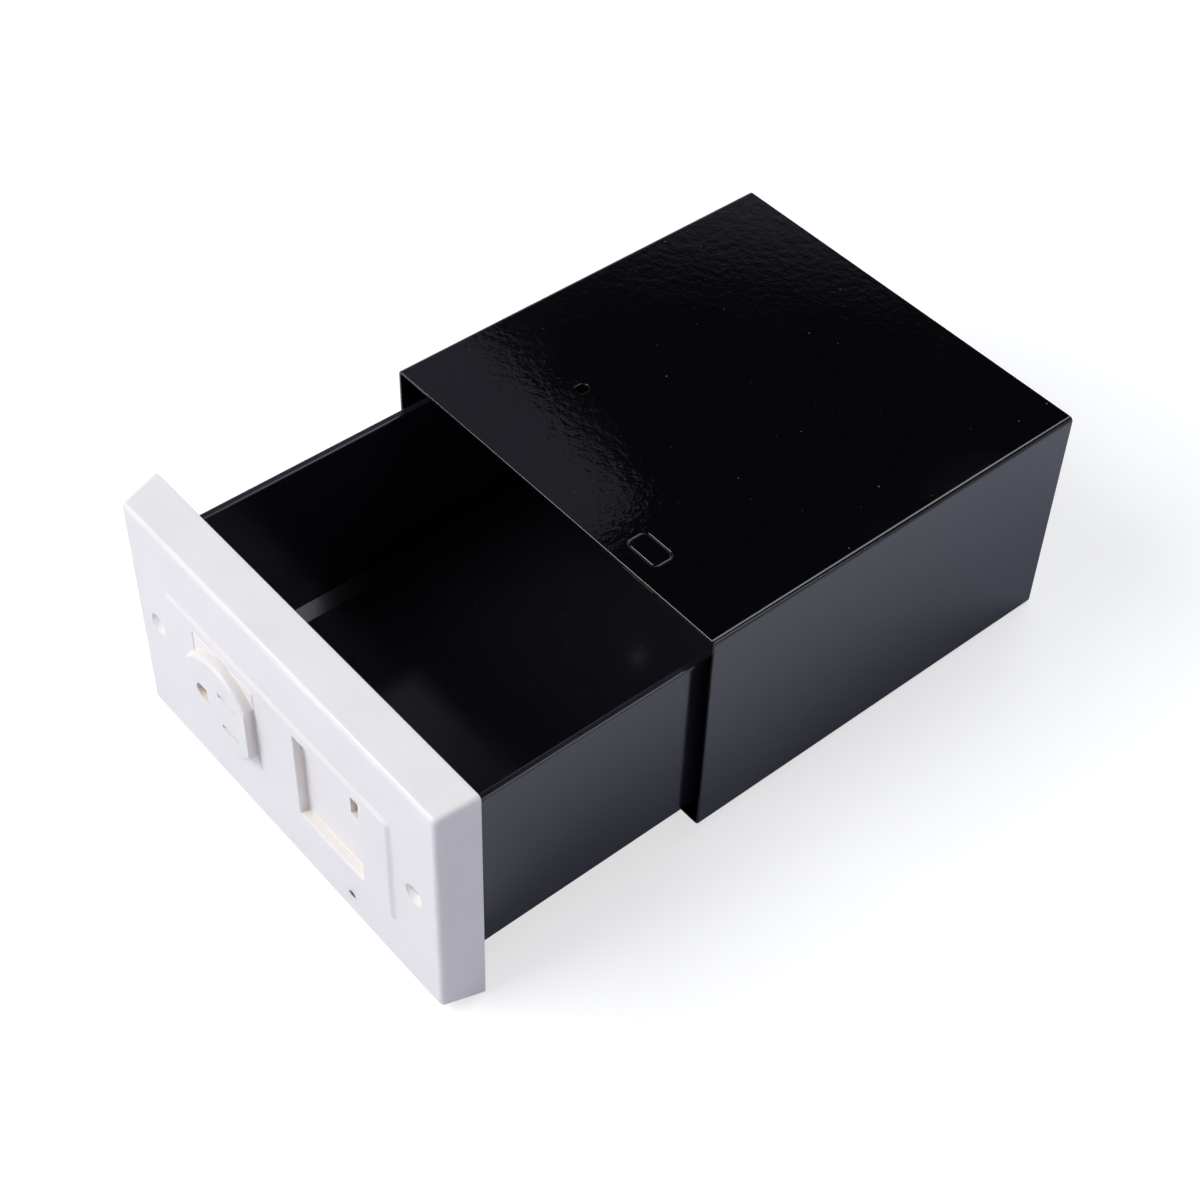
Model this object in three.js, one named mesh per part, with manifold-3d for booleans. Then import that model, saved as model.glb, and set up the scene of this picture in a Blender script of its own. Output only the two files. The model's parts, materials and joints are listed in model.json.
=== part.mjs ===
// Outlet diversion safe: a steel sleeve with a drawer whose front looks like a double wall outlet.
// Millimetres, +Z up. The origin is the centre of the sleeve's underside, and the drawer opens to -Y.
import * as THREE from "three";
import { mergeVertices } from "three/addons/utils/BufferGeometryUtils.js";
import Module from "manifold-3d";

const wasm = await Module();
wasm.setup();

// Clearances
const SEAT_GAP = 0.3; // between two pieces that touch or slide on each other
const TURN_GAP = 0.3; // around a round or square piece in its hole, on each side
const CUT_OVER = 1; // how far a cutting shape runs past the face that it cuts
const WELD_OVER = 0.5; // how far one shape runs into the other where they are moulded in one

// Outer sleeve: one folded steel sheet, open in front
const SLEEVE_WIDTH = 138;
const SLEEVE_HEIGHT = 78;
const SLEEVE_DEPTH = 140;
const SHEET = 1;
const SLEEVE_BEND = 1.5; // outer radius of the four folds
const SEAM_X = 40; // the butt weld under the sleeve, right of the middle
const SEAM_WIDTH = 0.6;
const SEAM_DEPTH = 0.3;

// Back panel: a pan of steel sheet, welded into the sleeve's rear end
const PAN_FLANGE = 9;
const PAN_BEND = 1.6;

// Latch keeper: a bent bracket under the sleeve's top, with its weld mark on the outside
const KEEPER_WIDTH = 12.8;
const KEEPER_SPAN = 7.7;
const KEEPER_SHEET = 1.2;
const KEEPER_CORNER = 1.6;
const KEEPER_CLEARANCE = 1.2; // between its legs and the drawer's rim
const WITNESS_WIDTH = 0.6;
const WITNESS_DEPTH = 0.35;

// Drawer stop: a tongue lanced from the sleeve's top and a finger on the drawer's rear wall
const STOP_X = -29.3;
const TONGUE_SETBACK = 35; // from the sleeve's front edge to the tongue's root
const TONGUE_RADIUS = 1.5;
const TONGUE_LENGTH = 3.6;
const TONGUE_DROP = 3.2; // how far its free end is bent down
const LANCE_GAP = 0.3;
const FINGER_WIDTH = 6;
const FINGER_HEADROOM = 0.5; // between the finger and the pan's upper flange

// Drawer tray: one moulding
const TRAY_INNER_WIDTH = 124.5;
const TRAY_INNER_LENGTH = 128.3;
const TRAY_HEADROOM = 10; // between the rim and the sleeve's inner top
const TRAY_WALL = 2.5;
const TRAY_FLOOR = 2.5;
const TRAY_CORNER = 1;
const RIM_EDGE = 0.5;
const FOOT_CHAMFER = 3.6; // the slope where the side walls meet the floor
const RUNNER_HEIGHT = 4.7;
const RUNNER_WIDTH = 4;
const RUNNER_INSET = 6;
const RUNNER_LEAD = 5;
const DRAWER_OPENING = 80; // how far the drawer stands open at rest

// Faceplate: one moulding, hollow behind
const PLATE_WIDTH = 146;
const PLATE_HEIGHT = 86;
const PLATE_DEPTH = 13;
const PLATE_DRAFT = 2.5; // how far each side leans in from the rear rim to the front
const PLATE_CORNER = 1.6;
const PLATE_EDGE = 1.2;
const PLATE_WALL = 2.5;
const HOLLOW_CORNER = 1;
const PANEL_WIDTH = 105.5;
const PANEL_HEIGHT = 45;
const PANEL_RISE = 1;
const PANEL_CORNER = 1.2;
const PANEL_EDGE = 0.5;
const POCKET_WIDTH = 29.3;
const POCKET_HEIGHT = 33;
const POCKET_DEPTH = 2.9;
const POCKET_WALL = 2;
const POCKET_X = 23.85; // from the middle to the centre of each pocket
const FIXING_SPACING = 120.6;
const FIXING_SINK = 6.5;
const FIXING_BORE = 3.6;
const FIXING_SINK_DEPTH = 1.6;
const FIXING_DEPTH = 4;
const FIXING_BOSS = 9;
const FIXING_BOSS_FLOOR = 2;
const PIN_X = 30.5;
const PIN_INSET = 10.7; // above the plate's lower rear edge
const PIN_HOLE = 2.8;
const PIN_FLARE = 4;
const PIN_FLARE_DEPTH = 0.5;
const PIN_WALL = 0.9; // what a recess behind leaves of the plate's wall
const PIN_RECESS = 8;
const GUSSET_WIDTH = 1.5;
const GUSSET_PITCH = 28;
const GUSSET_PER_LONG_SIDE = 5;
const GUSSET_REACH = 1.5; // past the sleeve's inner face

// Screws that hold the faceplate on the tray
const SCREW_INSET = 10.75; // from the tray's outer side
const SCREW_RISE = 20; // from the plate's middle up to the upper pair
const SCREW_FALL = 22; // and down to the lower pair
const SCREW_SHANK = 3;
const SCREW_HEAD = 6;
const SCREW_HEAD_HEIGHT = 2.3;
const SCREW_GRIP = 8; // how deep the shank goes into its boss
const SCREW_BOSS = 8;

// Outlet insert: the raised socket face, turned a quarter turn, with its fixing screw
const FACE_RADIUS = 17.4;
const FACE_RISE = 3.2;
const FACE_SHOULDER = 1.2;
const INSERT_WALL = 2.2;
const INSERT_FRONT = 3.2;
const INSERT_CORNER = 0.8;
const INSERT_EDGE = 0.4;
const GROUND_X = -7.5;
const GROUND_WIDTH = 5.4;
const GROUND_DEPTH = 3.1;
const BLADE_X = 5.7;
const BLADE_SPREAD = 6.35;
const BLADE_HEIGHT = 2;
const BLADE_LONG = 9;
const BLADE_SHORT = 8.2;
const BLADE_DEPTH = 2;
const INSERT_SCREW_HEAD = 4.8;
const INSERT_SCREW_HEAD_HEIGHT = 1.5;
const INSERT_SCREW_SHANK = 2.4;
const INSERT_BOSS = 9.6;
const INSERT_SOCKET = 6.4; // the boss behind the pocket that takes the screw
const INSERT_SOCKET_DEPTH = 3;

// Lock: a cam lock through the tray's front wall, behind the right pocket
const LOCK_X = 32.5;
const LOCK_RISE = 7; // above the plate's middle
const KEY_SLOT_WIDTH = 3.7;
const KEY_SLOT_HEIGHT = 8;
const HOUSING_DIAMETER = 17;
const HOUSING_FLATS = 15;
const HOUSING_FLANGE = 20;
const HOUSING_FLANGE_THICKNESS = 1.5;
const HOUSING_TAIL = 4.2; // how far the housing reaches past the tray's inner face
const PLUG_DIAMETER = 11.5;
const PLUG_HEAD = 13.4;
const PLUG_HEAD_THICKNESS = 1.2;
const PLUG_SQUARE = 6;
const KEYWAY_WIDTH = 2.4;
const KEYWAY_HEIGHT = 8.4;
const WAFER_COUNT = 5;
const WAFER_THICKNESS = 0.7;
const WAFER_WEB = 0.5; // metal between two wafer slots
const WAFER_WIDTH = 5.4;
const WAFER_HEIGHT = 9.8;
const WAFER_WINDOW_WIDTH = 3;
const WAFER_WINDOW_HEIGHT = 6.4;
const WASHER_DIAMETER = 22.5;
const WASHER_THICKNESS = 0.5;
const WASHER_TEETH = 12;
const WASHER_TOOTH = 1.6;
const NUT_FLATS = 21;
const NUT_THICKNESS = 2.7;
const NUT_CHAMFER = 0.6;
const STOP_THICKNESS = 1;
const STOP_DISC = 13;
const STOP_EAR = 16.6; // diameter over the ear and over the housing's stop
const STOP_EAR_ANGLE = 40;
const LOCK_TURN = 180;
const CAM_THICKNESS = 2;
const CAM_HUB = 16;
const CAM_TIP_WIDTH = 10;
const CAM_TIP_CORNER = 2;
const CAM_HEADROOM = 1; // under the keeper's base when the cam is up
const CAM_WASHER = 8.6;
const CAM_WASHER_THICKNESS = 0.7;
const CAM_SCREW_SHANK = 3.4;
const CAM_SCREW_HEAD = 7.6;
const CAM_SCREW_HEAD_HEIGHT = 2.6;
const CAM_SCREW_END = 1; // metal in the plug between the last wafer and the screw's hole
const RECESS_WIDTH = 0.9;
const RECESS_SHARE = 0.55; // of the head's width
const RECESS_DEPTH = 0.9;

// Facets
const CORNER_STEPS = 4;
const EDGE_STEPS = 3;
const HOLE_SIDES = 24;
const BARREL_SIDES = 40;
const FACE_SIDES = 64;
const SMALL_RADIUS = 0.05;

// Places that follow from the sizes, in the safe's own frame
const SLEEVE_FRONT = -SLEEVE_DEPTH / 2;
const SLEEVE_BACK = SLEEVE_DEPTH / 2;
const SLEEVE_INNER_WIDTH = SLEEVE_WIDTH - 2 * SHEET;
const SLEEVE_INNER_TOP = SLEEVE_HEIGHT - SHEET;
const PLATE_BACK = SLEEVE_FRONT - DRAWER_OPENING;
const PLATE_Z = SLEEVE_HEIGHT / 2;
const TRAY_BASE = SHEET + SEAT_GAP + RUNNER_HEIGHT;
const TRAY_RIM = SLEEVE_INNER_TOP - TRAY_HEADROOM;
const TRAY_WIDTH = TRAY_INNER_WIDTH + 2 * TRAY_WALL;
const SCREW_X = TRAY_WIDTH / 2 - SCREW_INSET;
const LOCK_Z = PLATE_Z + LOCK_RISE;
const PAN_FRONT = SLEEVE_BACK - PAN_FLANGE;
const PAN_TOP_FLANGE = SLEEVE_INNER_TOP - SEAT_GAP - SHEET;
const KEEPER_TOP = SLEEVE_INNER_TOP - SEAT_GAP;
const KEEPER_BASE = KEEPER_TOP - KEEPER_SHEET;

// Places along Y in the drawer's frame, where 0 is the plate's rear rim
const PANEL_FRONT = -PLATE_DEPTH - PANEL_RISE;
const POCKET_FLOOR = PANEL_FRONT + POCKET_DEPTH;
const POCKET_BACK = POCKET_FLOOR + POCKET_WALL;
const HOLLOW_FRONT = -PLATE_DEPTH + PLATE_WALL;
const TRAY_FRONT = SEAT_GAP;
const TRAY_INNER_FRONT = TRAY_FRONT + TRAY_WALL;
const TRAY_INNER_BACK = TRAY_INNER_FRONT + TRAY_INNER_LENGTH;
const TRAY_BACK = TRAY_INNER_BACK + TRAY_WALL;
const CLOSED_TRAVEL = DRAWER_OPENING - SEAT_GAP;
const PAN_FRONT_CLOSED = PAN_FRONT - PLATE_BACK - CLOSED_TRAVEL;
const HOUSING_FRONT = POCKET_BACK + SEAT_GAP;
const HOUSING_BACK = TRAY_INNER_FRONT + HOUSING_TAIL;
const STOP_FRONT = HOUSING_BACK + SEAT_GAP;
const STOP_BACK = STOP_FRONT + STOP_THICKNESS;
const CAM_FRONT = STOP_BACK + SEAT_GAP;
const CAM_BACK = CAM_FRONT + CAM_THICKNESS;
const CAM_WASHER_FRONT = CAM_BACK + SEAT_GAP;
const CAM_WASHER_BACK = CAM_WASHER_FRONT + CAM_WASHER_THICKNESS;
const CAM_LENGTH = KEEPER_BASE - CAM_HEADROOM - LOCK_Z;
const KEEPER_Y = PLATE_BACK + CLOSED_TRAVEL + (CAM_FRONT + CAM_BACK) / 2;
const WAFER_SLOT = WAFER_THICKNESS + 2 * SEAT_GAP;
const WAFER_PITCH = WAFER_SLOT + WAFER_WEB;
const WAFER_START = HOUSING_FRONT + PLUG_HEAD_THICKNESS + WAFER_WEB;
const WAFER_END = WAFER_START + WAFER_COUNT * WAFER_PITCH - WAFER_WEB;

// Materials
const finish = (color, roughness, metalness) =>
  new THREE.MeshStandardMaterial({ color, roughness, metalness });
const BLACK_PAINT = finish("#0b0b0f", 0.18, 0);
const BLACK_PLASTIC = finish("#101014", 0.22, 0);
const WHITE_PLASTIC = finish("#ebebf0", 0.35, 0);
const ZINC = finish("#a9abae", 0.4, 1);
const BRASS = finish("#b98a4c", 0.35, 1);
const BRIGHT_STEEL = finish("#8f9296", 0.3, 1);

// Solids from three.js geometries, joined and cut as closed bodies

function solid(geometry) {
  const bare = geometry.clone();
  bare.deleteAttribute("normal");
  bare.deleteAttribute("uv");
  const merged = mergeVertices(bare, 1e-5);
  return new wasm.Manifold(
    new wasm.Mesh({
      numProp: 3,
      vertProperties: new Float32Array(merged.attributes.position.array),
      triVerts: new Uint32Array(merged.index.array),
    }),
  );
}

function piece(name, body, material) {
  const { vertProperties, triVerts } = body.getMesh();
  const shared = new THREE.BufferGeometry();
  shared.setAttribute("position", new THREE.BufferAttribute(vertProperties, 3));
  shared.setIndex(new THREE.BufferAttribute(triVerts, 1));
  const geometry = shared.toNonIndexed();
  geometry.computeVertexNormals();
  const mesh = new THREE.Mesh(geometry, material);
  mesh.name = name;
  return mesh;
}

function join(first, ...others) {
  return others.reduce((whole, other) => whole.add(other), first);
}

function cut(body, ...tools) {
  return tools.reduce((left, tool) => left.subtract(tool), body);
}

function box([x0, x1], [y0, y1], [z0, z1]) {
  const block = new THREE.BoxGeometry(x1 - x0, y1 - y0, z1 - z0);
  return solid(block.translate((x0 + x1) / 2, (y0 + y1) / 2, (z0 + z1) / 2));
}

// A span of the given width around a middle.
function around(middle, width) {
  return [middle - width / 2, middle + width / 2];
}

function rod(shape, length) {
  return new THREE.ExtrudeGeometry(shape, { depth: length, bevelEnabled: false });
}

// The shape's x and y become Y and Z, and it runs along X.
function alongX(shape, [x0, x1]) {
  return solid(rod(shape, x1 - x0).rotateX(Math.PI / 2).rotateZ(Math.PI / 2).translate(x0, 0, 0));
}

// The shape's x and y become X and Z, and it runs along Y.
function alongY(shape, [y0, y1], x = 0, z = 0) {
  return solid(rod(shape, y1 - y0).rotateX(Math.PI / 2).translate(x, y1, z));
}

function alongZ(shape, [z0, z1], x = 0, y = 0) {
  return solid(rod(shape, z1 - z0).translate(x, y, z0));
}

// Turned about the Y axis from a profile of [radius, y] pairs that rises in y along its outside.
function turned(profile, sides, x = 0, z = 0) {
  const points = profile.map(([radius, y]) => new THREE.Vector2(radius, y));
  return solid(new THREE.LatheGeometry(points, sides).translate(x, 0, z));
}

function pin(diameter, [y0, y1], sides, x = 0, z = 0) {
  const radius = diameter / 2;
  return turned([[0, y0], [radius, y0], [radius, y1], [0, y1]], sides, x, z);
}

function ring(inner, outer, [y0, y1], sides) {
  const [r0, r1] = [inner / 2, outer / 2];
  return turned([[r0, y0], [r1, y0], [r1, y1], [r0, y1], [r0, y0]], sides);
}

function polygon(pairs) {
  return new THREE.Shape(pairs.map(([x, y]) => new THREE.Vector2(x, y)));
}

function roundedRectangle(width, height, radius) {
  const points = [];
  for (let corner = 0; corner < 4; corner++) {
    const right = corner === 0 || corner === 3 ? 1 : -1;
    const up = corner < 2 ? 1 : -1;
    for (let step = 0; step <= CORNER_STEPS; step++) {
      const angle = (Math.PI / 2) * (corner + step / CORNER_STEPS);
      const x = right * (width / 2 - radius) + radius * Math.cos(angle);
      const y = up * (height / 2 - radius) + radius * Math.sin(angle);
      points.push(new THREE.Vector2(x, y));
    }
  }
  return points;
}

// A sector of a ring between two angles in degrees, drawn anticlockwise.
function sector(inner, outer, from, to) {
  const [start, end] = [THREE.MathUtils.degToRad(from), THREE.MathUtils.degToRad(to)];
  const shape = new THREE.Shape();
  shape.absarc(0, 0, outer, start, end, false);
  shape.absarc(0, 0, inner, end, start, true);
  return shape;
}

// A closed solid through a row of outlines with the same number of points.
function loft(outlines) {
  const count = outlines[0].length;
  const last = (outlines.length - 1) * count;
  const index = [];
  for (let first = 0; first < last; first += count) {
    for (let i = 0; i < count; i++) {
      const [a, b] = [first + i, first + ((i + 1) % count)];
      index.push(a, b, b + count, a, b + count, a + count);
    }
  }
  for (let i = 1; i + 1 < count; i++) {
    index.push(0, i + 1, i);
    index.push(last, last + i, last + i + 1);
  }
  const geometry = new THREE.BufferGeometry().setFromPoints(outlines.flat());
  return solid(geometry.setIndex(index));
}

// A block with rounded corners that runs from one level to another, where its end has a rounded
// edge; its sides lean in by the draft. Place turns a point of an outline and a level into a vector.
function softBlock({ width, height, corner, from, to, edge, draft = 0, place }) {
  const outline = (level, rounding) => {
    const lean = (draft * (level - from)) / (to - from) + rounding;
    const radius = Math.max(corner - rounding, SMALL_RADIUS);
    const points = roundedRectangle(width - 2 * lean, height - 2 * lean, radius);
    return points.map((point) => place(point, level));
  };
  const outlines = [outline(from, 0)];
  for (let step = 0; step <= EDGE_STEPS; step++) {
    const angle = (Math.PI / 2) * (step / EDGE_STEPS);
    const level = to - Math.sign(to - from) * edge * (1 - Math.sin(angle));
    outlines.push(outline(level, edge * (1 - Math.cos(angle))));
  }
  return loft(outlines);
}

const facingFront = (x, z) => (point, level) => new THREE.Vector3(x + point.x, level, z + point.y);
const facingUp = (y) => (point, level) => new THREE.Vector3(point.x, y + point.y, level);

// Sleeve

function outerSleeve() {
  const outline = new THREE.Shape(roundedRectangle(SLEEVE_WIDTH, SLEEVE_HEIGHT, SLEEVE_BEND));
  const inside = roundedRectangle(SLEEVE_INNER_WIDTH, SLEEVE_HEIGHT - 2 * SHEET, SLEEVE_BEND - SHEET);
  outline.holes.push(new THREE.Path(inside));
  const sheet = alongY(outline, [SLEEVE_FRONT, SLEEVE_BACK], 0, SLEEVE_HEIGHT / 2);
  const seam = box(
    around(SEAM_X, SEAM_WIDTH),
    [SLEEVE_FRONT - CUT_OVER, SLEEVE_BACK + CUT_OVER],
    [-CUT_OVER, SEAM_DEPTH],
  );
  return cut(sheet, seam, keeperWitness(), tongueWindow()).add(stopTongue());
}

// The faint ring on the sleeve's top where the keeper is welded on below.
function keeperWitness() {
  const mark = new THREE.Shape(roundedRectangle(KEEPER_WIDTH, KEEPER_SPAN, KEEPER_CORNER));
  const inner = roundedRectangle(
    KEEPER_WIDTH - 2 * WITNESS_WIDTH,
    KEEPER_SPAN - 2 * WITNESS_WIDTH,
    KEEPER_CORNER - WITNESS_WIDTH,
  );
  mark.holes.push(new THREE.Path(inner));
  const depths = [SLEEVE_HEIGHT - WITNESS_DEPTH, SLEEVE_HEIGHT + CUT_OVER];
  return alongZ(mark, depths, LOCK_X, KEEPER_Y);
}

// A tongue's outline from its root at y = 0 to its round end.
function tongueOutline(halfWidth, length) {
  const shape = new THREE.Shape();
  shape.moveTo(-halfWidth, 0);
  shape.lineTo(halfWidth, 0);
  shape.lineTo(halfWidth, length - halfWidth);
  shape.absarc(0, length - halfWidth, halfWidth, 0, Math.PI, false);
  return shape;
}

function tongueWindow() {
  const outline = tongueOutline(TONGUE_RADIUS + LANCE_GAP, TONGUE_LENGTH + LANCE_GAP);
  const depths = [SLEEVE_INNER_TOP - CUT_OVER, SLEEVE_HEIGHT + CUT_OVER];
  return alongZ(outline, depths, STOP_X, SLEEVE_FRONT + TONGUE_SETBACK);
}

function stopTongue() {
  const outline = tongueOutline(TONGUE_RADIUS, TONGUE_LENGTH);
  const tilt = Math.asin(TONGUE_DROP / TONGUE_LENGTH);
  const blade = rod(outline, SHEET).translate(0, 0, -SHEET).rotateX(-tilt);
  const tongue = solid(blade.translate(STOP_X, SLEEVE_FRONT + TONGUE_SETBACK, SLEEVE_HEIGHT));
  const root = box(
    around(STOP_X, 2 * TONGUE_RADIUS),
    [SLEEVE_FRONT + TONGUE_SETBACK - SHEET, SLEEVE_FRONT + TONGUE_SETBACK],
    [SLEEVE_INNER_TOP, SLEEVE_HEIGHT],
  );
  return tongue.add(root);
}

function backPanel() {
  const width = SLEEVE_INNER_WIDTH - 2 * SEAT_GAP;
  const height = SLEEVE_HEIGHT - 2 * (SHEET + SEAT_GAP);
  const toBack = ({ x, y }, level) => new THREE.Vector3(-x, level, SLEEVE_HEIGHT / 2 + y);
  const pan = (inset, from, to) =>
    softBlock({
      width: width - 2 * inset,
      height: height - 2 * inset,
      corner: PAN_BEND - inset,
      from,
      to,
      edge: PAN_BEND - inset,
      place: toBack,
    });
  return cut(pan(0, PAN_FRONT, SLEEVE_BACK), pan(SHEET, PAN_FRONT - CUT_OVER, SLEEVE_BACK - SHEET));
}

function latchKeeper() {
  const half = KEEPER_SPAN / 2;
  const legEnd = TRAY_RIM + KEEPER_CLEARANCE;
  const bracket = polygon([
    [-half, legEnd],
    [-half + KEEPER_SHEET, legEnd],
    [-half + KEEPER_SHEET, KEEPER_BASE],
    [half - KEEPER_SHEET, KEEPER_BASE],
    [half - KEEPER_SHEET, legEnd],
    [half, legEnd],
    [half, KEEPER_TOP - SHEET / 2],
    [half - SHEET / 2, KEEPER_TOP],
    [-half + SHEET / 2, KEEPER_TOP],
    [-half, KEEPER_TOP - SHEET / 2],
  ]);
  const geometry = rod(bracket, KEEPER_WIDTH).rotateX(Math.PI / 2).rotateZ(Math.PI / 2);
  return solid(geometry.translate(LOCK_X - KEEPER_WIDTH / 2, KEEPER_Y, 0));
}

// Drawer

// The four plate screws, as places to the right of and above the plate's middle.
const SCREW_PLACES = [-SCREW_X, SCREW_X].flatMap((x) =>
  [-SCREW_FALL, SCREW_RISE].map((rise) => [x, PLATE_Z + rise]),
);

function drawerTray() {
  const length = TRAY_BACK - TRAY_FRONT;
  const shell = softBlock({
    width: TRAY_WIDTH,
    height: length,
    corner: TRAY_CORNER,
    from: TRAY_BASE,
    to: TRAY_RIM,
    edge: RIM_EDGE,
    place: facingUp((TRAY_FRONT + TRAY_BACK) / 2),
  });
  const screwHoles = SCREW_PLACES.map(([x, z]) =>
    pin(SCREW_SHANK + 2 * TURN_GAP, wallSpan(), HOLE_SIDES, x, z),
  );
  const tray = cut(shell, trayInside(), lockHole(), ...screwHoles);
  return join(tray, runner(-1), runner(1), stopFinger());
}

function wallSpan() {
  return [TRAY_FRONT - CUT_OVER, TRAY_INNER_FRONT + CUT_OVER];
}

function trayInside() {
  const half = TRAY_INNER_WIDTH / 2;
  const floor = TRAY_BASE + TRAY_FLOOR;
  const outline = polygon([
    [-half + FOOT_CHAMFER, floor],
    [half - FOOT_CHAMFER, floor],
    [half, floor + FOOT_CHAMFER],
    [half, TRAY_RIM + CUT_OVER],
    [-half, TRAY_RIM + CUT_OVER],
    [-half, floor + FOOT_CHAMFER],
  ]);
  return alongY(outline, [TRAY_INNER_FRONT, TRAY_INNER_BACK]);
}

// A round hole with two flats, which keep the lock's housing from turning.
function lockHole() {
  const round = pin(HOUSING_DIAMETER + 2 * TURN_GAP, wallSpan(), BARREL_SIDES, LOCK_X, LOCK_Z);
  const flats = box(
    around(LOCK_X, HOUSING_FLATS + 2 * TURN_GAP),
    wallSpan(),
    around(LOCK_Z, 2 * HOUSING_DIAMETER),
  );
  return round.intersect(flats);
}

// The runner ends ahead of the back panel's lower flange when the drawer is shut.
function runner(side) {
  const bottom = SHEET + SEAT_GAP;
  const back = Math.min(TRAY_BACK, PAN_FRONT_CLOSED - SEAT_GAP) - SHEET;
  const outline = polygon([
    [TRAY_FRONT, TRAY_BASE + WELD_OVER],
    [TRAY_FRONT, bottom],
    [back - RUNNER_LEAD, bottom],
    [back, TRAY_BASE - WELD_OVER],
    [back, TRAY_BASE + WELD_OVER],
  ]);
  const middle = side * (TRAY_WIDTH / 2 - RUNNER_INSET - RUNNER_WIDTH / 2);
  return alongX(outline, around(middle, RUNNER_WIDTH));
}

// It meets the sleeve's tongue when the drawer is pulled right out.
function stopFinger() {
  const top = PAN_TOP_FLANGE - FINGER_HEADROOM;
  const outline = polygon([
    [TRAY_INNER_BACK, TRAY_RIM - TRAY_WALL],
    [TRAY_BACK - WELD_OVER, TRAY_RIM - 3 * TRAY_WALL],
    [TRAY_BACK + TRAY_WALL / 2, TRAY_RIM],
    [TRAY_BACK + TRAY_WALL / 2, top],
    [TRAY_INNER_BACK, top],
  ]);
  return alongX(outline, around(STOP_X, FINGER_WIDTH));
}

// Faceplate

function faceplate() {
  const shell = {
    height: PLATE_HEIGHT,
    draft: PLATE_DRAFT,
    place: facingFront(0, PLATE_Z),
  };
  const outside = softBlock({
    ...shell,
    width: PLATE_WIDTH,
    corner: PLATE_CORNER,
    from: 0,
    to: -PLATE_DEPTH,
    edge: PLATE_EDGE,
  });
  const hollow = softBlock({
    width: PLATE_WIDTH - 2 * PLATE_WALL,
    height: PLATE_HEIGHT - 2 * PLATE_WALL,
    corner: HOLLOW_CORNER,
    from: CUT_OVER,
    to: HOLLOW_FRONT,
    edge: HOLLOW_CORNER,
    draft: (PLATE_DRAFT * (CUT_OVER - HOLLOW_FRONT)) / PLATE_DEPTH,
    place: facingFront(0, PLATE_Z),
  });
  const panel = softBlock({
    width: PANEL_WIDTH,
    height: PANEL_HEIGHT,
    corner: PANEL_CORNER,
    from: -PLATE_DEPTH + WELD_OVER,
    to: PANEL_FRONT,
    edge: PANEL_EDGE,
    place: facingFront(0, PLATE_Z),
  });
  const backing = join(...plateBacking()).intersect(outside);
  return cut(join(cut(outside, hollow), panel, backing), ...plateOpenings());
}

// What stands in the plate's hollow: pocket walls, bosses and the gussets that meet the sleeve.
function plateBacking() {
  const front = HOLLOW_FRONT - WELD_OVER;
  const cups = [-POCKET_X, POCKET_X].map((x) =>
    box(
      around(x, POCKET_WIDTH + 2 * POCKET_WALL),
      [front, POCKET_BACK],
      around(PLATE_Z, POCKET_HEIGHT + 2 * POCKET_WALL),
    ),
  );
  const screwBosses = SCREW_PLACES.map(([x, z]) => pin(SCREW_BOSS, [front, 0], HOLE_SIDES, x, z));
  const fixingBack = -PLATE_DEPTH + FIXING_DEPTH + FIXING_BOSS_FLOOR;
  const fixingBosses = [-1, 1].map((side) =>
    pin(FIXING_BOSS, [front, fixingBack], HOLE_SIDES, (side * FIXING_SPACING) / 2, PLATE_Z),
  );
  const socketSpan = [POCKET_BACK - WELD_OVER, POCKET_BACK + INSERT_SOCKET_DEPTH];
  const socket = pin(INSERT_SOCKET, socketSpan, HOLE_SIDES, GROUND_X - POCKET_X, PLATE_Z);
  return [...cups, ...screwBosses, ...fixingBosses, socket, ...gussets()];
}

function gussets() {
  const across = PLATE_WIDTH / 2 - PLATE_WALL / 2;
  const upright = PLATE_HEIGHT / 2 - PLATE_WALL / 2;
  const sleeveAcross = SLEEVE_INNER_WIDTH / 2 - GUSSET_REACH;
  const sleeveUpright = SLEEVE_HEIGHT / 2 - SHEET - GUSSET_REACH;
  const depth = [HOLLOW_FRONT - WELD_OVER, 0];
  const made = [];
  for (const side of [-1, 1]) {
    const heights = [side * sleeveUpright, side * upright].sort((a, b) => a - b);
    for (let i = 0; i < GUSSET_PER_LONG_SIDE; i++) {
      const x = (i - (GUSSET_PER_LONG_SIDE - 1) / 2) * GUSSET_PITCH;
      made.push(box(around(x, GUSSET_WIDTH), depth, heights.map((rise) => PLATE_Z + rise)));
    }
    const widths = [side * sleeveAcross, side * across].sort((a, b) => a - b);
    for (const rise of [-GUSSET_PITCH / 2, GUSSET_PITCH / 2]) {
      made.push(box(widths, depth, around(PLATE_Z + rise, GUSSET_WIDTH)));
    }
  }
  return made;
}

function plateOpenings() {
  const pockets = [-POCKET_X, POCKET_X].map((x) =>
    box(
      around(x, POCKET_WIDTH),
      [PANEL_FRONT - CUT_OVER, POCKET_FLOOR],
      around(PLATE_Z, POCKET_HEIGHT),
    ),
  );
  const keySlot = box(
    around(LOCK_X, KEY_SLOT_WIDTH),
    [POCKET_FLOOR - CUT_OVER, POCKET_BACK + CUT_OVER],
    around(LOCK_Z, KEY_SLOT_HEIGHT),
  );
  const screwHoles = SCREW_PLACES.map(([x, z]) =>
    pin(SCREW_SHANK + 2 * TURN_GAP, [-SCREW_GRIP - SEAT_GAP, CUT_OVER], HOLE_SIDES, x, z),
  );
  const socketHole = pin(
    INSERT_SCREW_SHANK + 2 * TURN_GAP,
    [POCKET_FLOOR - CUT_OVER, POCKET_BACK + INSERT_SOCKET_DEPTH + CUT_OVER],
    HOLE_SIDES,
    GROUND_X - POCKET_X,
    PLATE_Z,
  );
  const fixings = [-1, 1].map((side) => fixingHole((side * FIXING_SPACING) / 2));
  return [...pockets, keySlot, ...screwHoles, socketHole, ...fixings, pinHole()];
}

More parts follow.
